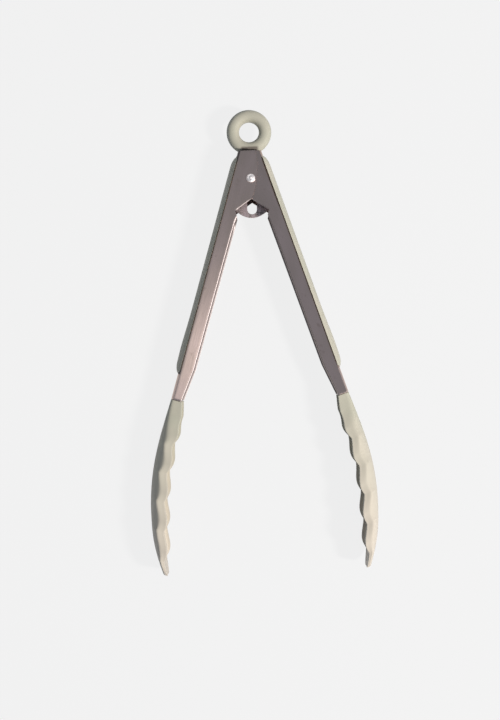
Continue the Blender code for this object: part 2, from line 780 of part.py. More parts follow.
def pivot_rivet(name):
    """A shank with a low domed head at each end."""
    seat = FULL_HALF_WIDTH + CLEARANCE
    edge = seat + RIVET_HEAD_EDGE
    rise = RIVET_HEAD_HEIGHT - RIVET_HEAD_EDGE
    dome = [
        (RIVET_HEAD_RADIUS * math.cos(angle), edge + rise * math.sin(angle))
        for angle in np.linspace(math.pi / 2, 0.0, CORNER_POINTS + 1)[1:]
    ]
    top = [(0.0, edge + rise), *dome, (RIVET_HEAD_RADIUS, seat), (RIVET_RADIUS, seat)]
    return turned(name, top + [(radius, -height) for radius, height in reversed(top)])


def pivot_sleeve(name):
    half = EARS_INSIDE - CLEARANCE
    profile = [
        (SLEEVE_INSIDE, -half),
        (SLEEVE_RADIUS, -half),
        (SLEEVE_RADIUS, half),
        (SLEEVE_INSIDE, half),
    ]
    return turned(name, profile)


def washer(name, direction):
    """A guide washer between the lock plate and one coil."""
    low = PLATE_THICKNESS / 2 + CLEARANCE
    inside = SLEEVE_RADIUS + CLEARANCE
    profile = [
        (inside, direction * low),
        (WASHER_RADIUS, direction * low),
        (WASHER_RADIUS, direction * (low + WASHER_THICKNESS)),
        (inside, direction * (low + WASHER_THICKNESS)),
    ]
    return turned(name, profile)


def leg_target(side):
    """Where a spring leg bears on the inside of a web."""
    x, y = from_arm(WEB_IN - CLEARANCE - WIRE_RADIUS, LEG_REACH, OPEN_ANGLE)
    return side * x, y


def leg_tangent(side):
    """The angle at which a straight leg to its web leaves the coil."""
    x, y = leg_target(side)
    swing = math.acos(COIL_RADIUS / math.hypot(x, y))
    return math.atan2(y, x) + side * swing


def spring_points():
    """One wire: leg on the right web, coil, bridge across the left web, coil, leg on the right web."""
    start = leg_tangent(RIGHT)
    end = leg_tangent(LEFT)
    sweep = (end - start) % (2 * math.pi) + 2 * math.pi * COIL_TURNS
    inner = PLATE_THICKNESS / 2 + 2 * CLEARANCE + WASHER_THICKNESS + WIRE_RADIUS
    outer = inner + COIL_PITCH * sweep / (2 * math.pi)
    steps = round(sweep / (2 * math.pi) * POINTS_A_TURN)
    angles = np.linspace(start, start + sweep, steps + 1)
    heights = np.linspace(outer, inner, steps + 1)
    coil = np.stack([COIL_RADIUS * np.cos(angles), COIL_RADIUS * np.sin(angles), heights], axis=1)
    free_end = np.array([(*leg_target(RIGHT), outer)])
    bridge_x, bridge_y = leg_target(LEFT)
    bend = np.linspace(0.0, math.pi / 2, LEG_BEND_POINTS)
    bend_radius = 2 * WIRE_RADIUS
    run = np.array([bridge_x, bridge_y]) - coil[-1, :2]
    run = run / np.linalg.norm(run)
    corner = np.array(
        [
            (
                bridge_x - run[0] * bend_radius * (1 - math.sin(angle)),
                bridge_y - run[1] * bend_radius * (1 - math.sin(angle)),
                inner - bend_radius * (1 - math.cos(angle)),
            )
            for angle in bend
        ]
    )
    half = np.concatenate([free_end, coil, corner])
    return np.concatenate([half, half[::-1] * (1, 1, -1)])


def spring_gap(points):
    """The least gap between stretches of the wire that are over half a turn apart, on points."""
    fine = []
    for start, end in zip(points[:-1], points[1:]):
        fine += [start + (end - start) * step / GAP_STEPS for step in range(GAP_STEPS)]
    fine = np.array(fine)
    travelled = np.concatenate([[0.0], np.cumsum(np.linalg.norm(np.diff(fine, axis=0), axis=1))])
    apart = np.abs(travelled[:, None] - travelled[None, :]) > math.pi * COIL_RADIUS
    distance = np.linalg.norm(fine[:, None] - fine[None, :], axis=2)
    return distance[apart].min() - 2 * WIRE_RADIUS


def torsion_spring(name):
    points = spring_points()
    print(f"torsion spring: {len(points)} points, least self-gap {1000 * spring_gap(points):.2f} mm")
    curve = bpy.data.curves.new(name, "CURVE")
    curve.dimensions = "3D"
    curve.bevel_depth = WIRE_RADIUS
    curve.bevel_resolution = 1
    curve.use_fill_caps = True
    spline = curve.splines.new("POLY")
    spline.points.add(len(points) - 1)
    for target, point in zip(spline.points, points):
        target.co = (*point, 1.0)
    made = bpy.data.objects.new(name, curve)
    bpy.context.scene.collection.objects.link(made)
    return made


def stand_on_ground(root):
    """Moves the whole so that its box stands on the ground with its middle over the origin."""
    bpy.context.view_layer.update()
    graph = bpy.context.evaluated_depsgraph_get()
    corners = []
    for piece in bpy.context.scene.objects:
        if piece.type == "EMPTY":
            continue
        evaluated = piece.evaluated_get(graph)
        mesh = evaluated.to_mesh()
        corners += [evaluated.matrix_world @ point.co for point in mesh.vertices]
        evaluated.to_mesh_clear()
    corners = np.array(corners)
    low, high = corners.min(axis=0), corners.max(axis=0)
    root.location = (-(low[0] + high[0]) / 2, -(low[1] + high[1]) / 2, -low[2])
    print("pivot stands at", [round(float(value), 6) for value in root.location])


def main():
    clear_scene()
    steel = material("brushed_steel", (0.19, 0.165, 0.155), 0.38, 1.0)
    polished = material("polished_steel", (0.62, 0.60, 0.59), 0.18, 1.0)
    wire = material("spring_steel", (0.35, 0.34, 0.33), 0.30, 1.0)
    silicone = material("sage_silicone", (0.50, 0.48, 0.38), 0.55, 0.0)
    nylon = material("nylon", (0.05, 0.05, 0.05), 0.45, 0.0)

    root = empty("tongs")
    frames = {
        LEFT: empty("left_arm_axis", root, -OPEN_ANGLE),
        RIGHT: empty("right_arm_axis", root, OPEN_ANGLE),
    }
    for side, word in ((LEFT, "left"), (RIGHT, "right")):
        frame = frames[side]
        ears = FULL_HALF_WIDTH if side == LEFT else NECK_HALF_WIDTH
        finish(arm(side, f"{word}_arm", ears), frame, steel)
        finish(grip(side, f"{word}_grip", ears), frame, silicone)
        finish(head(side, f"{word}_head"), frame, silicone)
        finish(core(side, f"{word}_core"), frame, nylon)
        finish(core_rivet(side, f"{word}_core_rivet"), frame, polished)

    slide = empty("lock_slide_axis", root)
    finish(lock_plate("lock_plate"), slide, steel)
    finish(pull_ring("pull_ring"), slide, silicone)

    finish(pivot_rivet("pivot_rivet"), root, polished)
    finish(pivot_sleeve("pivot_sleeve"), root, wire)
    finish(washer("near_washer", 1), root, nylon)
    finish(washer("far_washer", -1), root, nylon)
    finish(torsion_spring("torsion_spring"), root, wire)
    stand_on_ground(root)


main()
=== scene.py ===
"""The looks of a pair of locking kitchen tongs: satin steel arms, sage silicone grips and heads.

Each arm is drawn in its own frame. "Out" is measured from the hinge axis towards the arm's back,
"along" from the axis towards its head, and z from the mid-plane of the tongs. A section is a row of
points, and a piece is a grid of rows, so every shape is a function of two parameters.
"""

import json
import math

import bpy
import numpy as np
from bpy.props import FloatProperty, FloatVectorProperty, IntProperty, PointerProperty
from bpy.types import Operator, Panel, PropertyGroup
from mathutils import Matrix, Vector


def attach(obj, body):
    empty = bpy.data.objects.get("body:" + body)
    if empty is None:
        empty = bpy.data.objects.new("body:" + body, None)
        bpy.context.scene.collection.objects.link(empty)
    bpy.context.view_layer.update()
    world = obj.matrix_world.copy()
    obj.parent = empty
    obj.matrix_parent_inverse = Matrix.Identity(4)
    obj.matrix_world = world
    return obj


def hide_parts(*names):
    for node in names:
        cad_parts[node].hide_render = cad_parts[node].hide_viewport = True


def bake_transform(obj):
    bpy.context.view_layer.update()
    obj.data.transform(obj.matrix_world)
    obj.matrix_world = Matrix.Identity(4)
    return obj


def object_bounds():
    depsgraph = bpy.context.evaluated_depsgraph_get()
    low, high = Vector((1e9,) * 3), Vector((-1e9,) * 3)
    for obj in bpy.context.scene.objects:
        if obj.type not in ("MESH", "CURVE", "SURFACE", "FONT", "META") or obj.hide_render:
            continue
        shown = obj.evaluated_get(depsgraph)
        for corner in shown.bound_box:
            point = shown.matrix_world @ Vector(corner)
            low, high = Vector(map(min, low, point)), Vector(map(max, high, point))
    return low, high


bl_info = {
    "name": "Locking Kitchen Tongs",
    "version": (1, 0, 0),
    "blender": (4, 5, 0),
    "location": "View3D > Sidebar > Tongs",
    "description": "Builds the finished surfaces of silicone-headed locking kitchen tongs",
    "category": "Add Mesh",
}

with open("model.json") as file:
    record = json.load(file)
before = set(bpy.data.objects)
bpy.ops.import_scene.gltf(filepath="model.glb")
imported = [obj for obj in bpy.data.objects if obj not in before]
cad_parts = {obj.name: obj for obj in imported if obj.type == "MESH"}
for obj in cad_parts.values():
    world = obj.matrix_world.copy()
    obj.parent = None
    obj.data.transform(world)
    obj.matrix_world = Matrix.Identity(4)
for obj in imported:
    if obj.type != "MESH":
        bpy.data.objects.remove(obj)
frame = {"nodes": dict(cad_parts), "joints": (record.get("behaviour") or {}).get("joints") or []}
CAD_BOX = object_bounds()
JOINTS = {joint["name"]: joint for joint in frame["joints"]}
PIVOT = np.array(JOINTS["left_arm_close"]["pos_m"])
SIDES = (("left", -1), ("right", 1))

# Back, edge and inner floor of the heads, as (share of the length, share of the curl)
HEAD_BACK_SHARES = (
    (0.0, 0.0), (0.13, 0.032), (0.27, 0.040), (0.40, 0.008),
    (0.55, -0.095), (0.70, -0.277), (0.85, -0.540), (1.0, -0.945),
)
HEAD_EDGE_SHARES = (
    (0.0, -0.283), (0.09, -0.375), (0.17, -0.408), (0.32, -0.437),
    (0.515, -0.533), (0.667, -0.690), (0.834, -0.892), (1.0, -1.085),
)
HEAD_FLOOR_SHARES = (
    (0.0, 0.0), (0.13, 0.026), (0.27, 0.022), (0.40, -0.026),
    (0.55, -0.135), (0.70, -0.330), (0.85, -0.590), (1.0, -0.965),
)

# Points round, across or along each shape
POINTS = {
    "bore": 40, "grip": 60, "grip_end": 14, "grip_section": 41, "head": 190, "head_back": 15,
    "ring": 128, "ring_section": 56, "pivot": 72, "dome": 18, "core_rivet": 48, "dish": 12,
    "wire": 14, "coil": 90, "leg": 14, "leg_bend": 8, "plate": 121, "plate_end": 41,
    "slot_arc": 17, "floor": 96, "fillet": 12,
}

# Rows of a channel: down the ear, and along each stretch of the edge under it
EAR_ROWS = 30
EDGE_ROWS = (18, 10, 30, 16)

# Points across half a channel and across the rim and the band of a head
HEM_POINTS = 7
FLANGE_POINTS = 6
BEND_POINTS = 9
WEB_POINTS = 5
RIM_POINTS = 6
BAND_POINTS = 5

# Shares: the middle that closes a rivet, what roundings take at most and hollows leave at least
CORE_SHARE = 0.02
ROUNDING_LIMIT = 0.3
CORNER_LIMIT = 0.4
LEAST_HOLLOW_WIDTH = 0.35
LEAST_HOLLOW_DEPTH = 0.1

# Share of a head's back that bends at its start, and power by which its rows crowd to the tip
BENT_SHARE = 0.6
ROWS_LEAN = 1.12

# Running clearance between moving steel
RUNNING_GAP = 0.0003

# Where the painted crease shade, the painted ring shadow and the paler tips begin and where they
# are at full strength, in metres
CREASE_SHADE_UNDER_BACK = (0.0018, 0.0012)
CREASE_SHADE_ABOVE_AXIS = (0.0190, 0.0180)
CREASE_SHADE_SHORT_OF_END = (0.0160, 0.0168)
RING_SHADOW_FOOT = (0.0110, 0.0120)
RING_SHADOW_TOP = (0.0218, 0.0206)
RING_SHADOW_SIDE = (0.0062, 0.0046)
PALER_TOWARDS_TIP = (0.15, 0.25)

# Least and most roughness of the finishes, and depth of their relief in metres
SATIN_ROUGHNESS = (0.180, 0.236)
INSIDE_EXTRA_ROUGHNESS = 0.22
TUMBLED_ROUGHNESS = (0.42, 0.54)
SILICONE_ROUGHNESS = (0.56, 0.70)
FINE_RELIEF = 0.00002
SILICONE_RELIEF = 0.00003
NYLON_RELIEF = 0.00004

# Finishes with an even grain: colours, scale, roughness, strength and depth of relief, metal
EVEN_FINISHES = {
    # hem_steel and cut_steel are darker than the arms: painted shade on the hems, the notch's
    # coined edges and the ears' cut edges.
    "hem_steel": (("hem", "mill_and_shade"), 1500.0, (0.46, 0.54), 0.15, FINE_RELIEF, 1.0),
    "cut_steel": (("painted_shade", "hem"), 1500.0, (0.72, 0.80), 0.15, FINE_RELIEF, 1.0),
    "polished_steel": (("polished",), 3000.0, (0.46, 0.60), 0.25, FINE_RELIEF, 1.0),
    "drawn_wire": (("wire",), 1800.0, (0.22, 0.40), 0.0, FINE_RELIEF, 1.0),
    "moulded_nylon": (("nylon",), 1500.0, (0.38, 0.55), 0.35, NYLON_RELIEF, 0.0),
}

# Places and sizes on the stage, in metres, and the height of the camera's sensor in millimetres
KEY_PLACE = (1.00, -0.362, 1.17)
KEY_SIZE = (0.14, 0.22)
CAMERA_PLACE = (0.0023, -0.0128)
SENSOR_HEIGHT = 24.0
FLOOR_FILLET = 0.4
FLOOR_CENTRE = 0.01


def length(name, default, description):
    """A size in metres."""
    return FloatProperty(
        name=name, description=description, default=default, precision=5, unit="LENGTH"
    )


def share(name, default, description):
    """A plain factor."""
    return FloatProperty(name=name, description=description, default=default, precision=3)


def angle(name, degrees, description):
    """An angle, stored in radians."""
    return FloatProperty(
        name=name, description=description, default=math.radians(degrees), subtype="ANGLE"
    )


def colour(name, default, description):
    """A linear colour."""
    return FloatVectorProperty(
        name=name, description=description, default=default, subtype="COLOR", min=0.0, max=1.0
    )


class ArmSettings(PropertyGroup):
    """Sizes of the stamped steel channels."""

    spread: angle("Spread", 17.5, "Angle of each open arm from the middle line")
    sheet: length("Sheet", 0.0009, "Thickness of the steel")
    web_out: length("Web", 0.0124, "Distance of the channel's back from the hinge axis")
    half_width: length("Half width", 0.010, "Half the channel's width")
    neck_half_width: length("Neck half width", 0.0088, "Half the width of the right arm's ears")
    long: length("Length", 0.1485, "From the hinge axis to the end of the steel")
    bend: length("Bend radius", 0.0022, "Outside radius of the bends along the back")
    depth_top: length("Upper depth", 0.0101, "Depth of the flanges under the notch")
    depth_low: length("Lower depth", 0.0095, "Depth of the flanges where the taper starts")
    depth_end: length("End depth", 0.0071, "Depth of the flanges at the end")
    taper: length("Taper", 0.0215, "Length of the taper at the end")
    ear_top: length("Ear top", 0.0177, "Height of the ears above the hinge axis")
    ear_tip_out: length("Ear tip", 0.0019, "Where the top edge of an ear ends")
    ear_bulge: length("Ear bulge", 0.0021, "How far the free edge of an ear bows out")
    notch_apex: length("Notch apex", 0.0131, "Distance of the notch's apex below the axis")
    notch_corner_out: length("Notch corner out", 0.0041, "Place of the notch's corner")
    notch_corner_along: length("Notch corner along", 0.0225, "Place of the notch's corner")
    notch_corner_long: length("Notch corner length", 0.0030, "From the corner to the full depth")
    joggle_from: length("Joggle start", 0.0160, "Where the right arm starts to narrow to its ears")
    joggle_long: length("Joggle length", 0.0090, "Length over which it narrows")
    lip_radius: length("Lip radius", 0.0011, "Radius of the hem rolled along the flanges")
    lip_turn: angle("Lip turn", 78.0, "How far the hem is rolled inwards")
    lip_run_in: length("Lip run-in", 0.0050, "Length over which the hem starts")
    coin_wide: length("Coined width", 0.0009, "Width of the pressed edge along the notch")
    coin_share: share("Coined drop", 0.33, "Drop of that edge as a share of its width")
    cut_round: length("Cut rounding", 0.000015, "Rounding of the cut edges")
    window_top: length("Window top", 0.0132, "Upper end of the catch's window")
    window_low: length("Window foot", 0.0078, "Lower end of the catch's window")
    window_half: length("Window half width", 0.0018, "Half the width of the catch's window")
    catch_root: length("Catch root", 0.0136, "Where the catch leaves the web")
    catch_tip: length("Catch tip", 0.0120, "Where the catch ends")
    catch_reach: length("Catch reach", 0.00353, "How far the catch stands in from the web")
    bore: length("Bore", 0.0023, "Radius of the hinge holes")


class GripSettings(PropertyGroup):
    """Sizes of the silicone grips."""

    above: length("Above pivot", 0.0116, "How far the grip reaches above the hinge axis")
    short: length("Short of end", 0.0165, "How far the grip ends before the steel does")
    gap: length("Gap", 0.00012, "Gap between silicone and steel")
    proud: length("Proud", 0.0027, "Thickness over the back")
    wrap: length("Wrap", 0.0008, "How far the lips reach down the bends")
    half_width: length("Half width", 0.0106, "Half the grip's width")
    swell: length("Swell", 0.0005, "Extra thickness near the lower end")
    swell_from_end: length("Swell place", 0.017, "Distance of the swell from the end")
    swell_long: length("Swell length", 0.014, "Length of the swell")
    end_round: length("End rounding", 0.007, "Length of the rounded ends")
    end_fullness: share("End fullness", 0.22, "Power by which the width shrinks at the ends")
    lip_lean: angle("Lip lean", 29.0, "Where on its ellipse the section starts at the lips")


class HeadSettings(PropertyGroup):
    """Sizes of the silicone heads."""

    long: length("Length", 0.110, "From the end of the steel to the tip")
    curl: length("Curl", 0.0251, "How far the tip curls in")
    half_width: length("Half width", 0.014, "Half the head's width")
    band: length("Band", 0.0051, "Width of the flat band along the scalloped edge")
    band_lean: share("Band lean", 0.08, "How much the band narrows the head to its crease")
    band_limit: share("Band limit", 0.55, "Most that the band takes of the head's depth")
    crease_round: length("Crease rounding", 0.0006, "Rounding where the band meets the back")
    wall: length("Wall", 0.0039, "Thickness of silicone and core together")
    start_gap: length("Start gap", 0.0003, "Gap between silicone and steel")
    scallop: length("Scallop depth", 0.0020, "Depth between two lobes of the edge")
    sink: length("Scallop sink", 0.0008, "How far the band sinks between two lobes")
    pitch: length("Scallop pitch", 0.01815, "Distance between lobes")
    first: length("First scallop", 0.0099, "Distance of the first lobe's start from the steel")
    skew: share("Skew", 1.5, "How far each lobe's crest leans to the tip")
    rim: length("Rim rounding", 0.0003, "Rounding of the scalloped edge")
    tip_round: length("Tip rounding", 0.022, "Length over which the tip narrows")
    tip_share: share("Tip width", 0.36, "Width left at the tip")
    widen_share: share("Widening", 0.28, "Share of the length over which the head widens")
    hollow_power: share("Hollow fullness", 3.0, "Power of the superellipse inside the scoop")
    hollow_end: length("Hollow end", 0.0062, "Solid silicone left at the tip")
    hollow_run: length("Hollow run-out", 0.016, "Length over which the hollow runs out")


class RingSettings(PropertyGroup):
    """Sizes of the hanging ring."""

    radius: length("Radius", 0.0143, "Outside radius")
    hole: length("Hole radius", 0.0064, "Inside radius")
    thick: length("Thickness", 0.0086, "Thickness of the moulding")
    nest: length("Nest", 0.0009, "How far the ring sits between the ears")
    fullness: share("Fullness", 2.15, "Power of the superellipse that the section follows")
    seam: length("Seam", 0.00007, "Height of the moulding seam round the rim")
    seam_width: length("Seam width", 0.00025, "Width of the moulding seam")


class RivetSettings(PropertyGroup):
    """Sizes of the rivets."""

    shank: length("Shank radius", 0.0020, "Radius of the pivot's shank")
    head: length("Head radius", 0.00275, "Radius of the pivot's heads")
    rise: length("Head height", 0.0013, "Height of the pivot's heads")
    edge: length("Head edge", 0.0004, "Straight part of the pivot's heads")
    swirl: length("Swirl", 0.00030, "Depth of the spiral that the forming tool leaves")
    swirl_turns: share("Swirl turns", 1.25, "Turns of the spiral from centre to edge")
    core_head: length("Core rivet head", 0.0024, "Radius of the flush rivets")
    core_from_end: length("Core rivet place", 0.0075, "Distance of the flush rivets from the end")
    core_dish: length("Core rivet dish", 0.00012, "Dish in the flush rivets' heads")


class PlateSettings(PropertyGroup):
    """Sizes of the lock plate, with heights from the hinge axis."""

    thick: length("Thickness", 0.0015, "Thickness of the plate")
    half: length("Half width", 0.0107, "Half its width at the lower end")
    corner: length("Corner", -0.0190, "Height at which the round end starts")
    rise: length("Round end", 0.0050, "Depth of the round end")
    side_low: length("Side", -0.01502, "Height at which the plate reaches its full width")
    shoulder_low: length("Shoulder foot", -0.00523, "Height at which the shoulders start to widen")
    shoulder: length("Shoulder", -0.00451, "Height of the shoulders")
    shoulder_half: length("Shoulder half width", 0.00761, "Half the width over the shoulders")
    stem: length("Stem half width", 0.00423, "Half the width of the stem")
    top: length("Top", 0.0222, "Height at which the stem ends inside the ring")
    slot: length("Slot radius", 0.0031, "Half the width of the slot")
    slot_top: length("Slot top", 0.0003, "Height of the centre of the slot's upper end")
    slot_low: length("Slot foot", -0.0186, "Height of the centre of the slot's lower end")
    edge: length("Edge", 0.0003, "Width of the rounded edges")


class SpringSettings(PropertyGroup):
    """Sizes of the torsion spring."""

    wire: length("Wire radius", 0.00055, "Radius of the wire")
    coil: length("Coil radius", 0.0046, "Radius of the coils to the wire's middle")
    pitch: length("Pitch", 0.00162, "Distance between turns")
    turns: IntProperty(name="Turns", description="Whole turns in each coil", default=2)
    inner: length("First height", 0.0027, "Height of the first turn above the mid-plane")
    reach: length("Leg reach", 0.0240, "Where the legs bear on the webs")


class FinishSettings(PropertyGroup):
    """Colours of the finishes, in linear values."""

    steel: colour("Steel", (0.685, 0.54, 0.475), "Satin stainless steel")
    steel_warm: colour("Warm steel", (0.785, 0.61, 0.56), "Warmer patches in the steel")
    # Painted shade: darker steel for the hems and the cut edges.
    hem: colour("Hem", (0.335, 0.29, 0.28), "Rolled hems of the channels")
    # Real brownish marks, and also painted shade in the right arm's crease.
    smudge_and_shade: colour("Smudge and shade", (0.30, 0.20, 0.15), "Brownish marks on the steel and painted shade in the right crease")
    # Painted shadow on the ring at the tops of the ears.
    ring_shadow_colour: colour("Painted shade", (0.16, 0.135, 0.11), "Residue on the ring at the ears")
    # Painted shade: the dark creases by the grips and the ears' cut edges.
    painted_shade: colour("Crease stain", (0.085, 0.076, 0.074), "Residue in the creases by the grips")
    # Partly painted shade: the inside of the channels is duller, and also darker.
    mill_and_shade: colour("Mill finish and shade", (0.36, 0.305, 0.29), "Duller steel inside the channels, darkened as painted shade")
    plate: colour("Plate", (0.70, 0.56, 0.56), "Lock plate")
    plate_dark: colour("Dark plate", (0.33, 0.28, 0.26), "Duller patches of the lock plate")
    polished: colour("Polished steel", (0.93, 0.88, 0.87), "Heads of the rivets")
    wire: colour("Spring wire", (0.42, 0.40, 0.39), "Drawn wire of the spring")
    silicone: colour("Silicone", (0.545, 0.505, 0.405), "Sage silicone")
    silicone_shade: colour("Silicone shade", (0.485, 0.470, 0.370), "Greener patches in it")
    silicone_tip_tone: colour("Tip silicone", (0.64, 0.565, 0.47), "Paler silicone at the tips")
    nylon: colour("Nylon", (0.030, 0.030, 0.029), "Cores and washers")


class StageSettings(PropertyGroup):
    """The floor, the lights and the camera."""

    backdrop: colour("Backdrop", (0.888, 0.888, 0.888), "Colour of floor and backdrop")
    floor_tint: colour("Floor tint", (0.53, 0.57, 0.63), "Light that the floor gives back")
    shadow_share: share("Shadow", 0.06, "Share of the floor's look that takes shadows")
    floor_radius: length("Floor radius", 2.4, "Radius of the flat floor")
    wall_height: length("Wall height", 1.2, "Height of the backdrop")
    world: colour("World", (0.226, 0.250, 0.284), "Light from above the backdrop")
    key_power: FloatProperty(name="Key", description="Power of the key light", default=26.0)
    key_tint: colour("Key tint", (1.0, 0.965, 0.935), "Colour of the key light")
    camera_height: length("Camera height", 0.730, "Height of the camera above the floor")
    pixel_focal: FloatProperty(name="Focal", description="Focal length in pixels", default=1111.8)
    frame_height: FloatProperty(name="Frame height", description="Pixels", default=720.0)
    principal_x: FloatProperty(name="Principal", description="Pixels right of centre", default=12.0)
    roll: angle("Roll", 2.4, "Turn of the camera about its own axis")


def smooth_curve(shares, at):
    """A smooth curve through a table of (place, height): cubic pieces whose slopes at the table's
    places are the differences of their neighbours."""
    places = np.array([place for place, _ in shares])
    heights = np.array([height for _, height in shares])
    slopes = np.gradient(heights, places)
    index = np.clip(np.searchsorted(places, at) - 1, 0, len(places) - 2)
    width = places[index + 1] - places[index]
    part = (at - places[index]) / width
    start_weight = (1 + 2 * part) * (1 - part) ** 2
    start_pull = part * (1 - part) ** 2 * width
    end_pull = part**2 * (part - 1) * width
    height = start_weight * heights[index] + (1 - start_weight) * heights[index + 1]
    return height + start_pull * slopes[index] + end_pull * slopes[index + 1]


def smooth_step(part):
    """0 below 0, 1 above 1, and 3 part squared less 2 part cubed between."""
    part = np.clip(part, 0.0, 1.0)
    return part**2 * (3 - 2 * part)


def placed(arm, side, out, along, z):
    """World points of (out, along, z) in an arm's frame, turned by the spread about the hinge.

    x is along times the sine of the spread plus out times its cosine, mirrored on the left, and
    y is out times the sine less along times the cosine."""
    out, along, z = np.broadcast_arrays(out, along, z)
    x = side * (along * math.sin(arm.spread) + out * math.cos(arm.spread))
    y = out * math.sin(arm.spread) - along * math.cos(arm.spread)
    return np.stack([x, y, z], axis=-1) + PIVOT


def grid_faces(rows, columns, wrap_rows=False, wrap_columns=True):
    """Quads of a grid whose columns close on themselves unless told, and its rows where asked."""
    row = np.arange(rows if wrap_rows else rows - 1)[:, None]
    column = np.arange(columns if wrap_columns else columns - 1)[None, :]
    after = (column + 1) % columns
    below = (row + 1) % rows
    corners = (
        row * columns + column,
        row * columns + after,
        below * columns + after,
        below * columns + column,
    )
    return np.stack(np.broadcast_arrays(*corners), axis=-1).reshape(-1, 4)


def strip_faces(first, columns):
    """Quads across the end of a folded loop, whose column i lies over column (columns - 1 - i)."""
    step = np.arange(columns // 2 - 1)
    return first + np.stack([step, step + 1, columns - 2 - step, columns - 1 - step], axis=-1)


def turned_faces(rows, columns):
    """Quads of a turned profile, with both small end circles closed by strips across them."""
    strip = strip_faces(0, rows) * columns
    body = grid_faces(rows, columns, wrap_rows=True, wrap_columns=False)
    return np.concatenate([body, strip[:, ::-1], strip + columns - 1])


def signed_volume(points, quads):
    """A sixth of the summed triple products of the triangles, positive where faces point out."""
    corners = points[quads]
    first = np.cross(corners[:, 1], corners[:, 2])
    second = np.cross(corners[:, 2], corners[:, 3])
    return (np.sum(corners[:, 0] * first) + np.sum(corners[:, 0] * second)) / 6


def unit(vectors):
    """The same directions at length 1."""
    return vectors / np.linalg.norm(vectors, axis=-1, keepdims=True)


def whole_turn(count):
    """Angles round a whole turn, as a column."""
    return np.linspace(0.0, 2 * math.pi, count, endpoint=False)[:, None]


def fuller(wave, power):
    """A sine or cosine raised to a power with its sign kept. The two make a superellipse."""
    return np.sign(wave) * np.abs(wave) ** power


def side_by_side(*parts):
    """The parts of a section, column after column. A part with a single row serves every row."""
    rows = max(len(np.atleast_2d(part)) for part in parts)
    return np.concatenate([np.broadcast_to(part, (rows, part.shape[-1])) for part in parts], 1)


def mirrored(half, sign):
    """Half a section up to its middle, and back again times the sign."""
    return np.hstack([half, sign * half[:, -2::-1]])


def walked(corners):
    """The distance walked along a polygon at each of its corners."""
    return np.concatenate([[0.0], np.cumsum(np.linalg.norm(np.diff(corners, axis=0), axis=1))])


def points_at(distances, corners):
    """The points at some distances along a polygon."""
    steps = walked(corners)
    return np.stack([np.interp(distances, steps, corners[:, axis]) for axis in (0, 1)], axis=-1)


def add_object(name, data):
    """An object with the data, in the scene."""
    made = bpy.data.objects.new(name, data)
    bpy.context.scene.collection.objects.link(made)
    return made


def soften(mesh, sharp):
    """Smooth shading, with edges that turn by more than an angle in degrees kept sharp."""
    mesh.shade_smooth()
    mesh.set_sharp_from_angle(angle=math.radians(sharp))


def mesh_object(name, points, quads, sharp=40.0):
    """A closed mesh object with its faces turned outwards."""
    points = points.reshape(-1, 3)
    if signed_volume(points - points.mean(axis=0), quads) < 0:
        quads = quads[:, ::-1]
    mesh = bpy.data.meshes.new(name)
    mesh.from_pydata(points, [], quads)
    mesh.validate()
    soften(mesh, sharp)
    return add_object(name, mesh)


def rounded_end(first, second, radius, steps=3):
    """Rows past the end of a folded loop, which round its edge by the radius.

    Each pair of facing points closes by radius times (1 - cos) and moves on by radius times sin."""
    middle = (first + first[::-1]) / 2
    spoke = first - middle
    half = np.linalg.norm(spoke, axis=-1, keepdims=True)
    ahead = unit((first - second).mean(axis=0))
    rows = []
    for turn in np.linspace(0.0, math.pi / 2, steps + 1)[1:]:
        close = 1 - np.clip(radius * (1 - math.cos(turn)) / np.maximum(half, 1e-9), 0.0, 0.98)
        rows.append(middle + spoke * close + ahead * radius * math.sin(turn))
    return rows


def folded_piece(name, loops, radius, sharp=40.0):
    """A closed piece from folded loops, with rounded ends."""
    head = rounded_end(loops[0], loops[1], radius)[::-1]
    foot = rounded_end(loops[-1], loops[-2], radius)
    points = np.concatenate([np.array(head), loops, np.array(foot)])
    rows, columns = points.shape[:2]
    start = strip_faces(0, columns)[:, ::-1]
    end = strip_faces((rows - 1) * columns, columns)
    return mesh_object(name, points, np.concatenate([grid_faces(rows, columns), start, end]), sharp)


def folded_section(name, arm, side, along, outer, inner, radius, sharp=40.0):
    """A folded piece on an arm, from the out and z of its outer columns and of its inner ones."""
    pairs = zip(outer, inner)
    out, z = (np.hstack([there, back[:, ::-1]]) for there, back in pairs)
    return folded_piece(name, placed(arm, side, out, along[:, None], z), radius, sharp)


def turned_points(profile, sides):
    """A closed profile of (radius, height) turned round Z: x is r cos, y is r sin."""
    turn = whole_turn(sides)
    radius, height = profile.T
    return np.stack(np.broadcast_arrays(radius * np.cos(turn), radius * np.sin(turn), height), -1)


def machine(piece, arm, side, outline, half, operation):
    """Cuts a prism out of a channel or joins it on, by an exact Boolean.

    Its outline is given as (out, along) in the arm's frame, and it reaches from -half to half."""
    out, along = np.array(outline).T
    points = np.concatenate([placed(arm, side, out, along, z) for z in (-half, half)])
    count = len(out)
    ends = (strip_faces(0, count)[:, ::-1], strip_faces(count, count))
    tool = mesh_object("prism", points, np.concatenate([grid_faces(2, count), *ends]))
    change = piece.modifiers.new(operation.lower(), "BOOLEAN")
    change.operation = operation
    change.solver = "EXACT"
    change.object = tool
    bpy.context.view_layer.update()
    graph = bpy.context.evaluated_depsgraph_get()
    mesh = bpy.data.meshes.new_from_object(piece.evaluated_get(graph))
    piece.modifiers.clear()
    old = piece.data
    piece.data = mesh
    bpy.data.meshes.remove(old)
    bpy.data.objects.remove(tool, do_unlink=True)


def dress(piece, body, node, *finishes):
    """Gives a piece its finishes and its body, and hides the CAD node that it stands for."""
    for place, finish in enumerate(finishes):
        if place < len(piece.data.materials):
            piece.data.materials[place] = finish
        else:
            piece.data.materials.append(finish)
    if body is not None:
        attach(piece, body)
    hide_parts(node)
    return piece


# Finishes


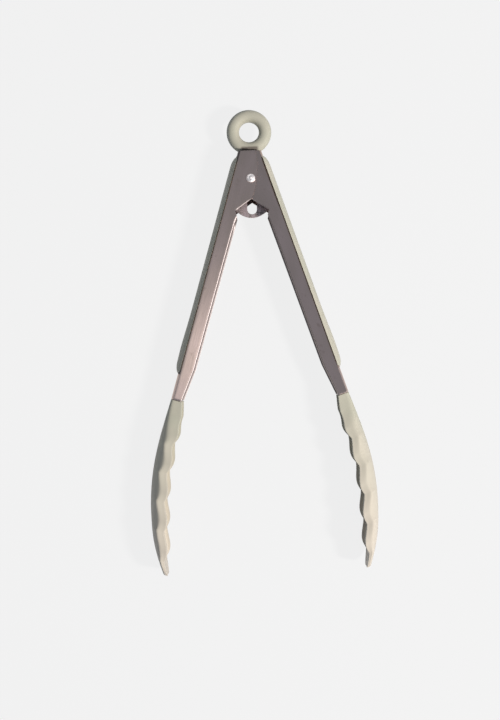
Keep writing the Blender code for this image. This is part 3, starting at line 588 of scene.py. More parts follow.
def new_material(name):
    """A material and its node tree."""
    made = bpy.data.materials.new(name)
    made.use_nodes = True
    return made, made.node_tree


def fill(tree, node, sockets):
    """Links each socket of a node to the one given for it, or sets it to the constant given."""
    for name, value in sockets.items():
        socket = node.inputs[name]
        if isinstance(value, bpy.types.NodeSocket):
            tree.links.new(value, socket)
        else:
            socket.default_value = (*value, 1.0) if socket.type == "RGBA" else value


def add_node(tree, kind, sockets, **settings):
    """A node of a kind, with its settings and its sockets filled."""
    node = tree.nodes.new(kind)
    for name, value in settings.items():
        setattr(node, name, value)
    fill(tree, node, sockets)
    return node


def shade(tree, sockets):
    """Fills the sockets of the Principled shader."""
    fill(tree, tree.nodes["Principled BSDF"], sockets)


def noise(tree, scale, turn=0.0, detail=3.0, rough=0.55):
    """Noise on Object coordinates, centred on the hinge, turned to an arm and stretched."""
    mapping = add_node(
        tree,
        "ShaderNodeMapping",
        {
            "Vector": tree.nodes.new("ShaderNodeTexCoord").outputs["Object"],
            "Location": PIVOT,
            "Rotation": (0.0, 0.0, turn),
            "Scale": tuple(1 / value for value in np.broadcast_to(scale, 3)),
        },
        vector_type="TEXTURE",
    )
    sockets = {
        "Vector": mapping.outputs["Vector"],
        "Scale": 1.0,
        "Detail": detail,
        "Roughness": rough,
    }
    return add_node(tree, "ShaderNodeTexNoise", sockets).outputs["Fac"]


def ramp(tree, value, low, high, to_low=0.0, to_high=1.0):
    """Maps a value from one range to another, clamped."""
    sockets = {"From Min": low, "From Max": high, "To Min": to_low, "To Max": to_high}
    return add_node(tree, "ShaderNodeMapRange", {"Value": value, **sockets}).outputs["Result"]


def tinted(tree, base, colour, value, low=0.0, high=1.0, most=1.0):
    """The base, which goes to another colour where a value rises from low to high."""
    sockets = {"Factor": ramp(tree, value, low, high, 0.0, most), 6: base, 7: colour}
    return add_node(tree, "ShaderNodeMix", sockets, data_type="RGBA").outputs[2]


def calculate(tree, operation, first, *others):
    """A Math operation on the first value and the next, then on its result and the next."""
    for other in others:
        node = add_node(tree, "ShaderNodeMath", {0: first, 1: other}, operation=operation)
        first = node.outputs["Value"]
    return first


def relief(tree, height, distance, strength):
    """The normal of a relief whose height is scaled by the distance, in metres."""
    sockets = {"Height": height, "Distance": distance, "Strength": strength}
    return add_node(tree, "ShaderNodeBump", sockets).outputs["Normal"]


def place_along(tree, ahead, begin, full):
    """0 at one distance from the hinge axis in a direction, 1 at another, even between them."""
    place = tree.nodes.new("ShaderNodeTexCoord").outputs["Object"]
    for operation, vector in (("SUBTRACT", PIVOT), ("DOT_PRODUCT", ahead)):
        node = add_node(tree, "ShaderNodeVectorMath", {0: place, 1: vector}, operation=operation)
        place = node.outputs["Value" if operation == "DOT_PRODUCT" else "Vector"]
    return ramp(tree, place, begin, full)


def arm_ways(arm, side):
    """The directions out and along of an open arm."""
    cosine = math.cos(arm.spread)
    sine = math.sin(arm.spread)
    return (side * cosine, sine, 0.0), (side * sine, -cosine, 0.0)


def crease_shade(tree, arm, side):
    """Painted shade: a dark line in the crease between a channel and its grip."""
    out, along = arm_ways(arm, side)
    lip = [arm.web_out - under for under in CREASE_SHADE_UNDER_BACK]
    top = [-above for above in CREASE_SHADE_ABOVE_AXIS]
    foot = [arm.long - short for short in CREASE_SHADE_SHORT_OF_END]
    shares = [place_along(tree, *run) for run in ((out, *lip), (along, *top), (along, *foot))]
    return calculate(tree, "MULTIPLY", *shares)


def ring_shadow(tree):
    """Painted shadow: a dark band on the foot of the ring, where it meets the tops of the ears."""
    up = (0.0, 1.0, 0.0)
    shares = [place_along(tree, up, *RING_SHADOW_FOOT), place_along(tree, up, *RING_SHADOW_TOP)]
    beside = [-reach for reach in RING_SHADOW_SIDE]
    shares += [place_along(tree, (way, 0.0, 0.0), *beside) for way in (1.0, -1.0)]
    return calculate(tree, "MULTIPLY", *shares)


def channel_inside(tree, arm, side):
    """1 on the duller inside of a channel: nearer the mid-plane than its outside, short of its web.

    The right arm's necked ears lie nearer too, so there it starts under them."""
    out, along = arm_ways(arm, side)
    begin = arm.half_width - arm.sheet * 0.4
    full = arm.half_width - arm.sheet * 0.8
    shares = [place_along(tree, (0.0, 0.0, way), begin, full) for way in (1.0, -1.0)]
    web = arm.web_out - arm.sheet * 0.4
    shares.append(place_along(tree, out, web, web - arm.sheet * 0.3))
    # On the left arm the mask reaches up past the notch, so the darker inside colour also paints
    # shade on the ears' inner faces seen in the notch.
    start = -arm.half_width if side < 0 else arm.notch_corner_along
    shares.append(place_along(tree, along, start, start + arm.sheet))
    return calculate(tree, "MULTIPLY", *shares)


def satin_steel(name, looks, arm, side):
    """Stainless steel brushed along the arm, with warm patches, faint marks and a duller inside,
    whose darker colour is painted shade.

    The tangent runs along the arm, so its highlights spread across the brushing. The crease by the
    grip is painted dark as shade, fully on the left arm and faintly on the right one."""
    made, tree = new_material(name)
    turn = side * arm.spread
    brushed = noise(tree, (5200.0, 70.0, 5200.0), turn, detail=4.0, rough=0.7)
    patches = noise(tree, (90.0, 28.0, 90.0), turn)
    marks = noise(tree, (260.0, 190.0, 260.0), turn, detail=4.0, rough=0.6)
    inside = channel_inside(tree, arm, side)
    # Painted shade in the crease by the grip: dark on the left arm, a faint brownish line on the
    # right.
    painted_shade, most = (looks.painted_shade, 1.0) if side < 0 else (looks.smudge_and_shade, 0.4)
    base = tinted(tree, looks.steel, looks.steel_warm, patches, 0.38, 0.66)
    base = tinted(tree, base, looks.smudge_and_shade, marks, 0.62, 0.80, most=0.35)
    # The inside is darker as painted shade, and rougher.
    base = tinted(tree, base, looks.mill_and_shade, inside)
    base = tinted(tree, base, painted_shade, crease_shade(tree, arm, side), most=most)
    grain = ramp(tree, brushed, 0.25, 0.75, *SATIN_ROUGHNESS)
    duller = ramp(tree, inside, 0.0, 1.0, 0.0, INSIDE_EXTRA_ROUGHNESS)
    carried = add_node(
        tree,
        "ShaderNodeVectorTransform",
        {"Vector": arm_ways(arm, side)[1]},
        vector_type="VECTOR",
        convert_from="OBJECT",
        convert_to="WORLD",
    )
    shade(tree, {
        "Base Color": base,
        "Roughness": calculate(tree, "ADD", grain, duller),
        "Metallic": 1.0,
        "Anisotropic": 0.93,
        "Anisotropic Rotation": 0.25,
        "Tangent": carried.outputs["Vector"],
        "Normal": relief(tree, brushed, FINE_RELIEF, 0.15),
    })
    return made


def tumbled_steel(name, looks):
    """The lock plate's steel, tumbled and not brushed: dull and mottled."""
    made, tree = new_material(name)
    patches = noise(tree, 620.0, rough=0.6)
    shade(tree, {
        "Base Color": tinted(tree, looks.plate, looks.plate_dark, patches, 0.44, 0.62),
        "Roughness": ramp(tree, patches, 0.3, 0.7, *TUMBLED_ROUGHNESS),
        "Metallic": 1.0,
        "Normal": relief(tree, noise(tree, 2600.0), FINE_RELIEF, 0.25),
    })
    return made


def silicone(name, looks):
    """Matt silicone: greener patches, paler tips, a fine grain, a soft sheen and a painted shadow
    on the ring at the ears.
    """
    made, tree = new_material(name)
    patches = noise(tree, 42.0, detail=4.0)
    grain = noise(tree, 2400.0)
    tips = place_along(tree, (0.0, -1.0, 0.0), *PALER_TOWARDS_TIP)
    base = tinted(tree, looks.silicone, looks.silicone_shade, patches, 0.35, 0.68)
    base = tinted(tree, base, looks.silicone_tip_tone, tips)
    shade(tree, {
        # Painted shadow on the foot of the ring at the ears.
        "Base Color": tinted(tree, base, looks.ring_shadow_colour, ring_shadow(tree)),
        "Roughness": ramp(tree, grain, 0.3, 0.7, *SILICONE_ROUGHNESS),
        "Specular IOR Level": 0.32,
        "Sheen Weight": 0.08,
        "Sheen Roughness": 0.5,
        "Normal": relief(tree, grain, SILICONE_RELIEF, 0.30),
    })
    return made


def even_finish(name, looks):
    """A finish with an even grain: it moves the roughness and raises the surface, and where there
    are two colours it blends them."""
    colours, scale, roughness, strength, depth, metal = EVEN_FINISHES[name]
    made, tree = new_material(name)
    grain = noise(tree, scale)
    base = getattr(looks, colours[0])
    if len(colours) > 1:
        base = tinted(tree, base, getattr(looks, colours[1]), grain, 0.35, 0.65)
    if strength:
        shade(tree, {"Normal": relief(tree, grain, depth, strength)})
    shade(tree, {
        "Base Color": base,
        "Roughness": ramp(tree, grain, 0.3, 0.7, *roughness),
        "Metallic": metal,
    })
    return made


def shared(name, looks, make=even_finish):
    """A finish that several pieces share is made once."""
    return bpy.data.materials.get(name) or make(name, looks)


# Arms


def to_arm(arm, x, y):
    """A place in the open tongs, as (out, along) of an arm."""
    cosine = math.cos(arm.spread)
    sine = math.sin(arm.spread)
    return x * cosine + y * sine, x * sine - y * cosine


def steel_half_width(arm, side, along):
    """Half the width of a channel, which the right arm's joggle narrows to its ears."""
    ears = arm.half_width if side < 0 else arm.neck_half_width
    wide = smooth_step((along - arm.joggle_from) / arm.joggle_long)
    return (ears + (arm.half_width - ears) * wide)[:, None]


def arm_rows(arm):
    """Rows down one arm: the out and along of the flange's edge, and the along of the web's middle.

    The edge bows from the tip of the ear to the notch's apex by 1 - share squared, runs straight to
    the notch's corner and from there follows the flange. The top row slants as the ear's top does.
    """
    lean = math.tan(arm.spread)
    top = -arm.ear_top / math.cos(arm.spread)
    tip = np.array([arm.ear_tip_out, top + arm.ear_tip_out * lean])
    apex = np.array(to_arm(arm, 0.0, -arm.notch_apex))
    chord = apex - tip
    side = unit(np.array([-chord[1], chord[0]]))
    part = np.linspace(0.0, 1.0, EAR_ROWS)[:, None]
    edge = [tip + chord * part + side * arm.ear_bulge * (1 - (2 * part - 1) ** 2)]
    web_top = top + arm.web_out * lean
    web = [web_top + (apex[1] - web_top) * part[:, 0]]
    stops = [
        apex,
        (arm.notch_corner_out, arm.notch_corner_along),
        (arm.web_out - arm.depth_top, arm.notch_corner_along + arm.notch_corner_long),
        (arm.web_out - arm.depth_low, arm.long - arm.taper),
        (arm.web_out - arm.depth_end, arm.long - arm.cut_round),
    ]
    for start, end, count in zip(stops, stops[1:], EDGE_ROWS):
        part = np.linspace(0.0, 1.0, count + 1)[1:, None]
        run = np.array(start) + np.subtract(end, start) * part
        edge.append(run)
        web.append(run[:, 1])
    return np.concatenate(edge), np.concatenate(web)


def channel_loops(arm, side):
    """Folded loops of the sheet: its outside from hem to hem, and back along its inside.

    Outside, each half is an arc that rolls the hem, a flat flange, the arc of the bend and half the
    web. The inside lies one sheet under it along its normals. Where there is no hem, the edge is
    coined instead: it drops by a share of the coined width times the distance to the flat, squared.
    """
    edge, web_along = arm_rows(arm)
    edge_out = edge[:, :1]
    along = edge[:, 1]
    half = steel_half_width(arm, side, along)
    corner_end = arm.notch_corner_along + arm.notch_corner_long
    rolled = smooth_step((along - corner_end) / arm.lip_run_in)[:, None]
    notched = smooth_step((along - arm.notch_apex) / arm.coin_wide)
    notched = notched * smooth_step((arm.notch_corner_along - along) / arm.coin_wide / 2)
    coined = arm.coin_wide * (1 - rolled)
    drop = arm.coin_share * coined * notched[:, None]
    turn = arm.lip_turn * rolled

    part = np.linspace(1.0, 0.0, HEM_POINTS)
    lip = math.pi / 2 + turn * part
    lip_out = edge_out + arm.lip_radius * (np.sin(turn) + np.cos(lip)) + coined * (1 - part)
    lip_z = half - arm.lip_radius * (1 - np.sin(lip)) - drop * part**2
    flange_from = edge_out + arm.lip_radius * np.sin(turn) + coined
    flat = np.linspace(0.0, 1.0, FLANGE_POINTS + 2)[1:-1]
    flange_out = flange_from + (arm.web_out - arm.bend - flange_from) * flat
    bend = np.linspace(math.pi / 2, 0.0, BEND_POINTS)
    bend_out = arm.web_out - arm.bend + arm.bend * np.cos(bend)
    bend_z = half - arm.bend + arm.bend * np.sin(bend)
    middle_z = (half - arm.bend) * np.linspace(1.0, 0.0, WEB_POINTS + 1)[1:]
    middle_out = arm.web_out + 0 * middle_z

    out = mirrored(side_by_side(lip_out, flange_out, bend_out, middle_out), 1)
    z = mirrored(side_by_side(lip_z, half + 0 * flange_out, bend_z, middle_z), -1)
    upright = math.pi / 2 + 0 * flat
    facing = mirrored(side_by_side(lip, upright, bend, 0 * middle_z), -1)
    normal = np.stack([np.cos(facing), np.sin(facing)], axis=-1)
    tangent = np.stack([-np.sin(facing), np.cos(facing)], axis=-1)
    outside = np.stack([out, z], axis=-1)
    inside = outside - arm.sheet * normal

    cut = []
    for column, way in ((0, 1), (-1, -1)):
        push = way * tangent[:, column] * arm.cut_round
        for depth in (0.2, 0.8):
            ring = outside[:, column] - arm.sheet * depth * normal[:, column] + push
            cut.append(ring[:, None])
    loops = np.hstack([cut[0], outside, cut[2], cut[3], inside[:, ::-1], cut[1]])
    reach = (loops[..., 0] - edge_out) / (arm.web_out - edge_out)
    rows_along = along[:, None] + (web_along - along)[:, None] * reach
    return placed(arm, side, loops[..., 0], rows_along, loops[..., 1])


def build_arm(arm, side, word):
    """One steel channel with its window, its lanced catch and its hinge holes.

    Below the notch's apex its hems have the second finish. Above the notch's corner its cut edges
    have the third. Both are darker steel: painted shade, which also dims their glints."""
    loops = channel_loops(arm, side)
    made = folded_piece(f"{word}_arm_channel", loops, arm.cut_round)
    faces = made.data.polygons
    columns = loops.shape[1]
    column = np.arange(len(faces)) % columns
    far = columns // 2 - 1
    cut = (column % (columns - 1) == 0) | (np.abs(column - far) < 2)
    hem = cut | (column < HEM_POINTS) | ((column >= far - HEM_POINTS) & (column < far))
    centres = np.empty((len(faces), 3), np.float32)
    faces.foreach_get("center", centres.ravel())
    along = to_arm(arm, side * centres[:, 0], centres[:, 1] - PIVOT[1])[1]
    cut &= along < arm.notch_corner_along
    finish = np.where(cut, 2, hem & (along > arm.notch_apex))
    faces.foreach_set("material_index", finish.astype(np.int32))

    over = arm.sheet
    rim = (arm.web_out - arm.sheet - over, arm.web_out + over)
    foot = -arm.window_low
    top = -arm.window_top
    window = [(rim[0], top), (rim[0], foot), (rim[1], foot), (rim[1], top)]
    machine(made, arm, side, window, arm.window_half, "DIFFERENCE")
    root = np.array([arm.web_out - arm.sheet / 2, -arm.catch_root])
    tip = np.array([arm.web_out - arm.catch_reach, -arm.catch_tip])
    run = unit(tip - root)
    offset = np.array([-run[1], run[0]]) * arm.sheet / 2
    catch = [root + offset, tip + offset, tip - offset, root - offset]
    machine(made, arm, side, catch, arm.window_half - over / 3, "UNION")
    turn = whole_turn(POINTS["bore"])
    bore = arm.bore * np.hstack([np.cos(turn), np.sin(turn)])
    machine(made, arm, side, bore, arm.half_width + over, "DIFFERENCE")
    soften(made.data, 40.0)
    return made


# Grips


def build_grip(arm, grip, side, word):
    """A grip: outside it is the upper part of an ellipse, inside it follows the channel.

    Its height shrinks to the ends as a quarter circle does and its width by a power of that. Where
    the section would dip into the steel it is lifted to lie on it.
    """
    start = -grip.above
    end = arm.long - grip.short
    size_at_end = np.sin(np.linspace(0.06, math.pi / 2, POINTS["grip_end"]))
    near_end = grip.end_round * (1 - np.sqrt(1 - size_at_end**2))
    steady = np.linspace(start + grip.end_round, end - grip.end_round, POINTS["grip"])[1:-1]
    along = np.concatenate([start + near_end, steady, (end - near_end)[::-1]])
    size = np.concatenate([size_at_end, np.ones(len(steady)), size_at_end[::-1]])
    swell_at = end - grip.swell_from_end
    swell = grip.swell * np.exp(-(((along - swell_at) / grip.swell_long) ** 2))

    half = steel_half_width(arm, side, along)
    width = (grip.half_width * size**grip.end_fullness)[:, None]
    rise = (grip.wrap + (grip.proud + swell) * size)[:, None]
    flat = half - arm.bend
    bend_out = arm.web_out - arm.bend
    radius = arm.bend + grip.gap
    skin = grip.gap / 2

    theta = np.linspace(grip.lip_lean, math.pi - grip.lip_lean, POINTS["grip_section"])
    up = (np.sin(theta) - math.sin(grip.lip_lean)) / (1 - math.sin(grip.lip_lean))
    z = width * np.cos(theta) / math.cos(grip.lip_lean)
    out = arm.web_out - grip.wrap + rise * up
    past = np.clip(np.abs(z) - flat, 0.0, radius)
    steel = bend_out + np.sqrt(radius**2 - past**2)
    out = np.where(np.abs(z) < half + grip.gap, np.maximum(out, steel + skin), out)

    whole = flat + radius * math.acos((arm.bend - grip.wrap) / radius)
    travel = np.minimum(width, whole) * np.linspace(1.0, -1.0, len(theta))
    beyond = np.clip(np.abs(travel) - flat, 0.0, None) / radius
    inner_z = np.sign(travel) * (np.minimum(np.abs(travel), flat) + radius * np.sin(beyond))
    inner = (bend_out + radius * np.cos(beyond), inner_z)
    return folded_section(f"{word}_grip_pad", arm, side, along, (out, z), inner, skin)


# Heads


def head_sizes(arm, head, along):
    """Back, edge, half-width, scallop and share of the way from square to round, at each place."""
    place = np.clip((along - arm.long) / head.long, 0.0, 1.0)
    back = arm.web_out + head.curl * smooth_curve(HEAD_BACK_SHARES, place)
    edge = arm.web_out + head.curl * smooth_curve(HEAD_EDGE_SHARES, place)
    broad = np.clip(place / head.widen_share, 0.0, 1.0)
    full = arm.half_width + (head.half_width - arm.half_width) * smooth_step(broad)
    past = np.clip((place - 1) * head.long / head.tip_round + 1, 0.0, 1.0)
    width = full * (head.tip_share + (1 - head.tip_share) * np.sqrt(1 - past**2))
    turns = (place * head.long - head.first) / head.pitch
    lobe = np.abs(turns % 1) ** head.skew
    valley = np.clip(2 * turns, 0.0, 1.0) * (1 - np.sin(math.pi * lobe))
    return back, edge, width, valley, broad


def build_head(arm, head, side, word):
    """A scoop: a rounded rim that follows the lobes, a flat band, a crease and a broad back.

    The back blends from the channel's square one to an arc from crease to crease. The hollow is a
    superellipse whose depth runs out at the tip as the root of the distance left.
    """
    start = arm.long + 2 * head.start_gap
    end = arm.long + head.long - head.start_gap
    along = end - (end - start) * np.linspace(1.0, 0.0, POINTS["head"]) ** ROWS_LEAN
    sizes = head_sizes(arm, head, along)
    back, edge, width, valley, broad = (value[:, None] for value in sizes)
    depth = back - edge
    lip = edge + head.scallop * valley
    band = np.minimum(head.band, (back - lip) * head.band_limit)
    crease = lip + band
    rim = np.minimum(head.rim, depth * ROUNDING_LIMIT)

    quarter = np.linspace(math.pi / 2, 0.0, RIM_POINTS)
    rim_out = lip + rim * (1 - np.sin(quarter))
    rim_z = width - rim * (1 - np.cos(quarter))
    flat = np.linspace(0.0, 1.0, BAND_POINTS + 1)[1:]
    soft = np.minimum(head.crease_round, band * ROUNDING_LIMIT)
    band_out = lip + rim + (crease - soft - lip - rim) * flat
    band_z = width - head.band_lean * (band_out - lip)

    creased = width - head.band_lean * band
    sagitta = back - crease
    radius = (creased**2 + sagitta**2) / (2 * sagitta)
    part = np.linspace(0.0, 1.0, POINTS["head_back"])
    arc = np.arctan2(creased, radius - sagitta) * (1 - part)
    arc_out = back - radius + radius * np.cos(arc)
    arc_z = radius * np.sin(arc)
    corner = np.minimum(arm.bend, depth * CORNER_LIMIT)
    bend = np.clip(part / BENT_SHARE, 0.0, 1.0) * math.pi / 2
    to_middle = 1 - np.clip((part - BENT_SHARE) / (1 - BENT_SHARE), 0.0, 1.0)
    square_out = back - corner + corner * np.sin(bend)
    square_z = (creased - corner + corner * np.cos(bend)) * to_middle
    back_out = square_out + (arc_out - square_out) * broad
    back_z = square_z + (arc_z - square_z) * broad

    half_out = side_by_side(rim_out, band_out, back_out)
    half_z = side_by_side(rim_z, band_z, back_z)
    sunk = smooth_step(broad * 2) * smooth_step((crease - half_out) / band)
    half_z = half_z - head.sink * np.sqrt(valley) * sunk
    first = RIM_POINTS + BAND_POINTS - 1
    for half in (half_out, half_z):
        beside = half[:, first - 1:first + 2] + half[:, first + 1:first + 4]
        half[:, first:first + 3] = half[:, first:first + 3] * 0.5 + beside * 0.25
    outer = (mirrored(half_out, 1), mirrored(half_z, -1))

    inner_width = np.maximum(width - head.wall, width * LEAST_HOLLOW_WIDTH)
    hollow = np.clip((arm.long + head.long - head.hollow_end - along) / head.hollow_run, 0.0, 1.0)
    hollow = np.sqrt(hollow * (2 - hollow))[:, None]
    place = np.clip((along - arm.long) / head.long, 0.0, 1.0)[:, None]
    inner_floor = arm.web_out + head.curl * smooth_curve(HEAD_FLOOR_SHARES, place) - head.wall
    hollow_depth = np.maximum(inner_floor - lip, depth * LEAST_HOLLOW_DEPTH) * hollow
    theta = np.linspace(0.0, math.pi, outer[0].shape[1])
    power = 2 / head.hollow_power
    inner_out = lip + rim * 0.05 + hollow_depth * np.abs(np.sin(theta)) ** power
    inner = (inner_out, inner_width * fuller(np.cos(theta), power))
    name = f"{word}_head_scoop"
    return folded_section(name, arm, side, along, outer, inner, head.start_gap, 50.0)


# Ring, rivets, spring and lock plate


def build_ring(arm, ring):
    """A torus whose section is a superellipse, with a low seam round its outer rim."""
    middle = (ring.radius + ring.hole) / 2
    half = (ring.radius - ring.hole) / 2
    theta = whole_turn(POINTS["ring_section"])[:, 0]
    across = fuller(np.cos(theta), 2 / ring.fullness)
    height = fuller(np.sin(theta), 2 / ring.fullness) * ring.thick / 2
    seam = ring.seam * np.exp(-((height / ring.seam_width) ** 2)) * (across > 0)
    profile = np.stack([middle + half * across + seam, height], axis=-1)
    points = turned_points(profile, POINTS["ring"])
    centre = PIVOT + (0.0, arm.ear_top + ring.radius - ring.nest, 0.0)
    quads = grid_faces(*points.shape[:2], wrap_rows=True)
    return mesh_object("pull_ring_moulding", points + centre, quads, 80.0)


def build_pivot(arm, rivet):
    """A shank between two formed heads, each with a spiral pressed into it.

    The height of a head is its edge plus the rise of an ellipse, less the swirl times a wave of the
    angle plus the turns times the share of the radius, which fades at the centre and at the rim.
    """
    seat = arm.half_width + RUNNING_GAP
    part = np.concatenate([np.linspace(CORE_SHARE, 0.94, POINTS["dome"]), [0.975, 1.0, 1.0, 1.0]])
    turn = whole_turn(POINTS["pivot"])
    dome = np.sqrt(np.clip(1 - part**2, 0.0, 1.0))
    height = seat + rivet.edge + (rivet.rise - rivet.edge) * dome
    height[-2] = seat + rivet.edge / 2
    height[-1] = seat
    fade = smooth_step(part * 3) * smooth_step((0.95 - part) * 4)
    wave = np.cos(turn + 2 * math.pi * rivet.swirl_turns * part)
    z = height - rivet.swirl * (0.5 + 0.5 * wave) * fade
    top = np.stack([rivet.head * part * np.cos(turn), rivet.head * part * np.sin(turn), z], axis=-1)
    narrow = rivet.shank / rivet.head
    upper = np.hstack([top, top[:, -1:] * (narrow, narrow, 1.0)])
    points = np.hstack([upper, upper[:, ::-1] * (1.0, 1.0, -1.0)])
    quads = turned_faces(*points.shape[:2])
    return mesh_object("pivot_rivet_formed", points + PIVOT, quads, 50.0)


def build_core_rivet(arm, rivet, side, word):
    """A flush head, dished by a cosine, on a short shank into the core."""
    part = np.linspace(CORE_SHARE, 1.0, POINTS["dish"])
    dished = arm.web_out - rivet.core_dish * (0.5 + 0.5 * np.cos(math.pi * part))
    under = arm.web_out - arm.sheet * np.array([0.3, 0.9, 3.4, 3.4])
    height = np.concatenate([dished, under])
    reach = rivet.core_head * np.concatenate([part, [1.0, 0.62, 0.62, CORE_SHARE]])
    turn = whole_turn(POINTS["core_rivet"])
    along = arm.long - rivet.core_from_end + reach * np.sin(turn)
    points = placed(arm, side, height + 0 * turn, along, reach * np.cos(turn))
    return mesh_object(f"{word}_core_rivet_flush", points, turned_faces(*points.shape[:2]))


def spring_paths(arm, spring):
    """The wire's middle: a straight leg on the right web, a helix, and half the bridge across the
    left web. The other half of the spring is the same, mirrored in the mid-plane. The helix is
    radius times (cos, sin) with a height that falls evenly with the angle."""
    out = arm.web_out - arm.sheet - RUNNING_GAP - spring.wire
    leg_x, leg_y, _ = placed(arm, 1, out, spring.reach, 0.0) - PIVOT
    swing = math.acos(spring.coil / math.hypot(leg_x, leg_y))
    first, last = (math.atan2(leg_y, side * leg_x) + side * swing for side in (1, -1))
    sweep = (last - first) % (2 * math.pi) + 2 * math.pi * spring.turns
    outer = spring.inner + spring.pitch * sweep / (2 * math.pi)
    turn = np.linspace(first, first + sweep, POINTS["coil"])
    height = np.linspace(outer, spring.inner, len(turn))
    coil = np.stack([spring.coil * np.cos(turn), spring.coil * np.sin(turn), height], axis=-1)
    part = np.linspace(0.0, 1.0, POINTS["leg"])[:, None]
    leg = coil[0] + (np.array([leg_x, leg_y, outer]) - coil[0]) * part
    bend = np.linspace(0.0, math.pi / 2, POINTS["leg_bend"])[:, None]
    foot = np.array([-leg_x, leg_y])
    radius = 2 * spring.wire
    flat = foot - unit(foot - coil[-1, :2]) * radius * (1 - np.sin(bend))
    corner = np.hstack([flat, spring.inner - radius * (1 - np.cos(bend))])
    bridge = coil[-1] + (corner[0] - coil[-1]) * part[:-1]
    return leg, coil, np.concatenate([bridge, corner])


def follow(piece):
    """Bakes a spring piece's placement into its mesh; the piece is left on no body."""
    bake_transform(piece)


def tube(name, path, radius):
    """A round wire: at each point a circle across the path, from two directions square to it.

    The first is square to the path and to the line from the hinge, the second to both."""
    ahead = unit(np.gradient(path, axis=0))
    across = unit(np.cross(ahead, (path - PIVOT) * (1.0, 1.0, 0.0)))
    up = np.cross(ahead, across)
    turn = whole_turn(POINTS["wire"])
    circle = across[:, None] * np.cos(turn) + up[:, None] * np.sin(turn)
    return folded_piece(name, path[:, None] + radius * circle, radius * 0.3, 60.0)


def build_plate(plate):
    """The lock plate between its outline and its slot: a ring of four rows, bevelled.

    The outline is a polygon whose lower end is a parabola, and the slot is two half circles. A
    point at some share of the outline's length faces the slot's point at the same share."""
    part = np.linspace(-1.0, 1.0, POINTS["plate_end"])
    low = plate.corner - plate.rise * (1 - part**2)
    bottom = np.stack([-plate.half * part, low], axis=-1)
    right = np.array([
        (0.0, plate.top),
        (plate.stem, plate.top),
        (plate.stem, plate.shoulder),
        (plate.shoulder_half, plate.shoulder),
        (plate.shoulder_half, plate.shoulder_low),
        (plate.half, plate.side_low),
    ])
    corners = np.vstack([right, bottom, right[:0:-1] * (-1.0, 1.0), right[:1]])
    steps = walked(corners)
    at = np.unique(np.concatenate([steps, np.linspace(0.0, steps[-1], POINTS["plate"])]))[:-1]
    outer = points_at(at, corners)

    turn = np.linspace(0.0, math.pi / 2, POINTS["slot_arc"])
    arc = plate.slot * np.stack([np.sin(turn), np.cos(turn)], axis=-1)
    foot = arc[::-1] * (1.0, -1.0) + (0.0, plate.slot_low)
    half = np.concatenate([arc + (0.0, plate.slot_top), foot])
    slot = np.concatenate([half, half[-2::-1] * (-1.0, 1.0)])
    inner = points_at(at / steps[-1] * walked(slot)[-1], slot)

    flat = np.stack([outer, inner, inner, outer])
    height = np.array([1.0, 1.0, -1.0, -1.0])[:, None, None] * plate.thick / 2
    points = np.concatenate([flat, height + 0 * flat[..., :1]], axis=-1)
    quads = grid_faces(*points.shape[:2], wrap_rows=True)
    made = mesh_object("lock_plate_stamped", points + PIVOT, quads, 25.0)
    bevel = made.modifiers.new("edges", "BEVEL")
    bevel.width = plate.edge
    bevel.segments = 3
    bevel.limit_method = "ANGLE"
    bevel.angle_limit = math.radians(35.0)
    bevel.harden_normals = True
    return made


# Stage


def backdrop_material(stage):
    """Pale floor: to the camera and in reflections it shows its own colour with a light shadow."""
    made, tree = new_material("pale_backdrop")
    tree.nodes.clear()
    path = tree.nodes.new("ShaderNodeLightPath")
    rays = [path.outputs[f"Is {kind} Ray"] for kind in ("Camera", "Glossy", "Transmission")]
    lit = add_node(tree, "ShaderNodeBsdfDiffuse", {"Color": stage.floor_tint}).outputs[0]
    shadowed = add_node(tree, "ShaderNodeBsdfDiffuse", {"Color": stage.backdrop}).outputs[0]
    glow = add_node(tree, "ShaderNodeEmission", {"Color": stage.backdrop}).outputs[0]
    shown = {"Fac": stage.shadow_share, 1: glow, 2: shadowed}
    shown = add_node(tree, "ShaderNodeMixShader", shown).outputs[0]
    final = {"Fac": calculate(tree, "MAXIMUM", *rays), 1: lit, 2: shown}
    final = add_node(tree, "ShaderNodeMixShader", final).outputs[0]
    add_node(tree, "ShaderNodeOutputMaterial", {"Surface": final})
    return made


def build_floor(stage):
    """A round floor whose rim turns up by a quarter circle into a wall."""
    turn = np.linspace(0.0, math.pi / 2, POINTS["fillet"])
    radius = np.concatenate([[FLOOR_CENTRE], stage.floor_radius + FLOOR_FILLET * np.sin(turn)])
    height = np.concatenate([[0.0], FLOOR_FILLET * (1 - np.cos(turn))])
    radius = np.append(radius, radius[-1])
    height = np.append(height, stage.wall_height)
    points = turned_points(np.stack([radius, height + CAD_BOX[0][2]], axis=-1), POINTS["floor"])
    rows, columns = points.shape[:2]
    quads = grid_faces(rows, columns, wrap_rows=True, wrap_columns=False)
    centre = list(range(0, rows * columns, columns))
    mesh = bpy.data.meshes.new("backdrop")
    mesh.from_pydata(points.reshape(-1, 3).tolist(), [], [*quads.tolist(), centre])
    mesh.shade_smooth()
    mesh.materials.append(backdrop_material(stage))
    add_object("backdrop", mesh)


def build_lights(stage):
    """A soft lamp that faces the middle of the floor, and even light from all around."""
    data = bpy.data.lights.new("key", "AREA")
    data.shape = "RECTANGLE"
    data.size, data.size_y = KEY_SIZE
    data.energy = stage.key_power
    data.color = stage.key_tint
    lamp = add_object("key", data)
    lamp.location = KEY_PLACE
    lamp.rotation_euler = (-Vector(KEY_PLACE)).to_track_quat("-Z", "Y").to_euler()
    world = bpy.data.worlds.new("studio_air")
    world.use_nodes = True
    world.node_tree.nodes["Background"].inputs["Color"].default_value = (*stage.world, 1.0)
    bpy.context.scene.world = world


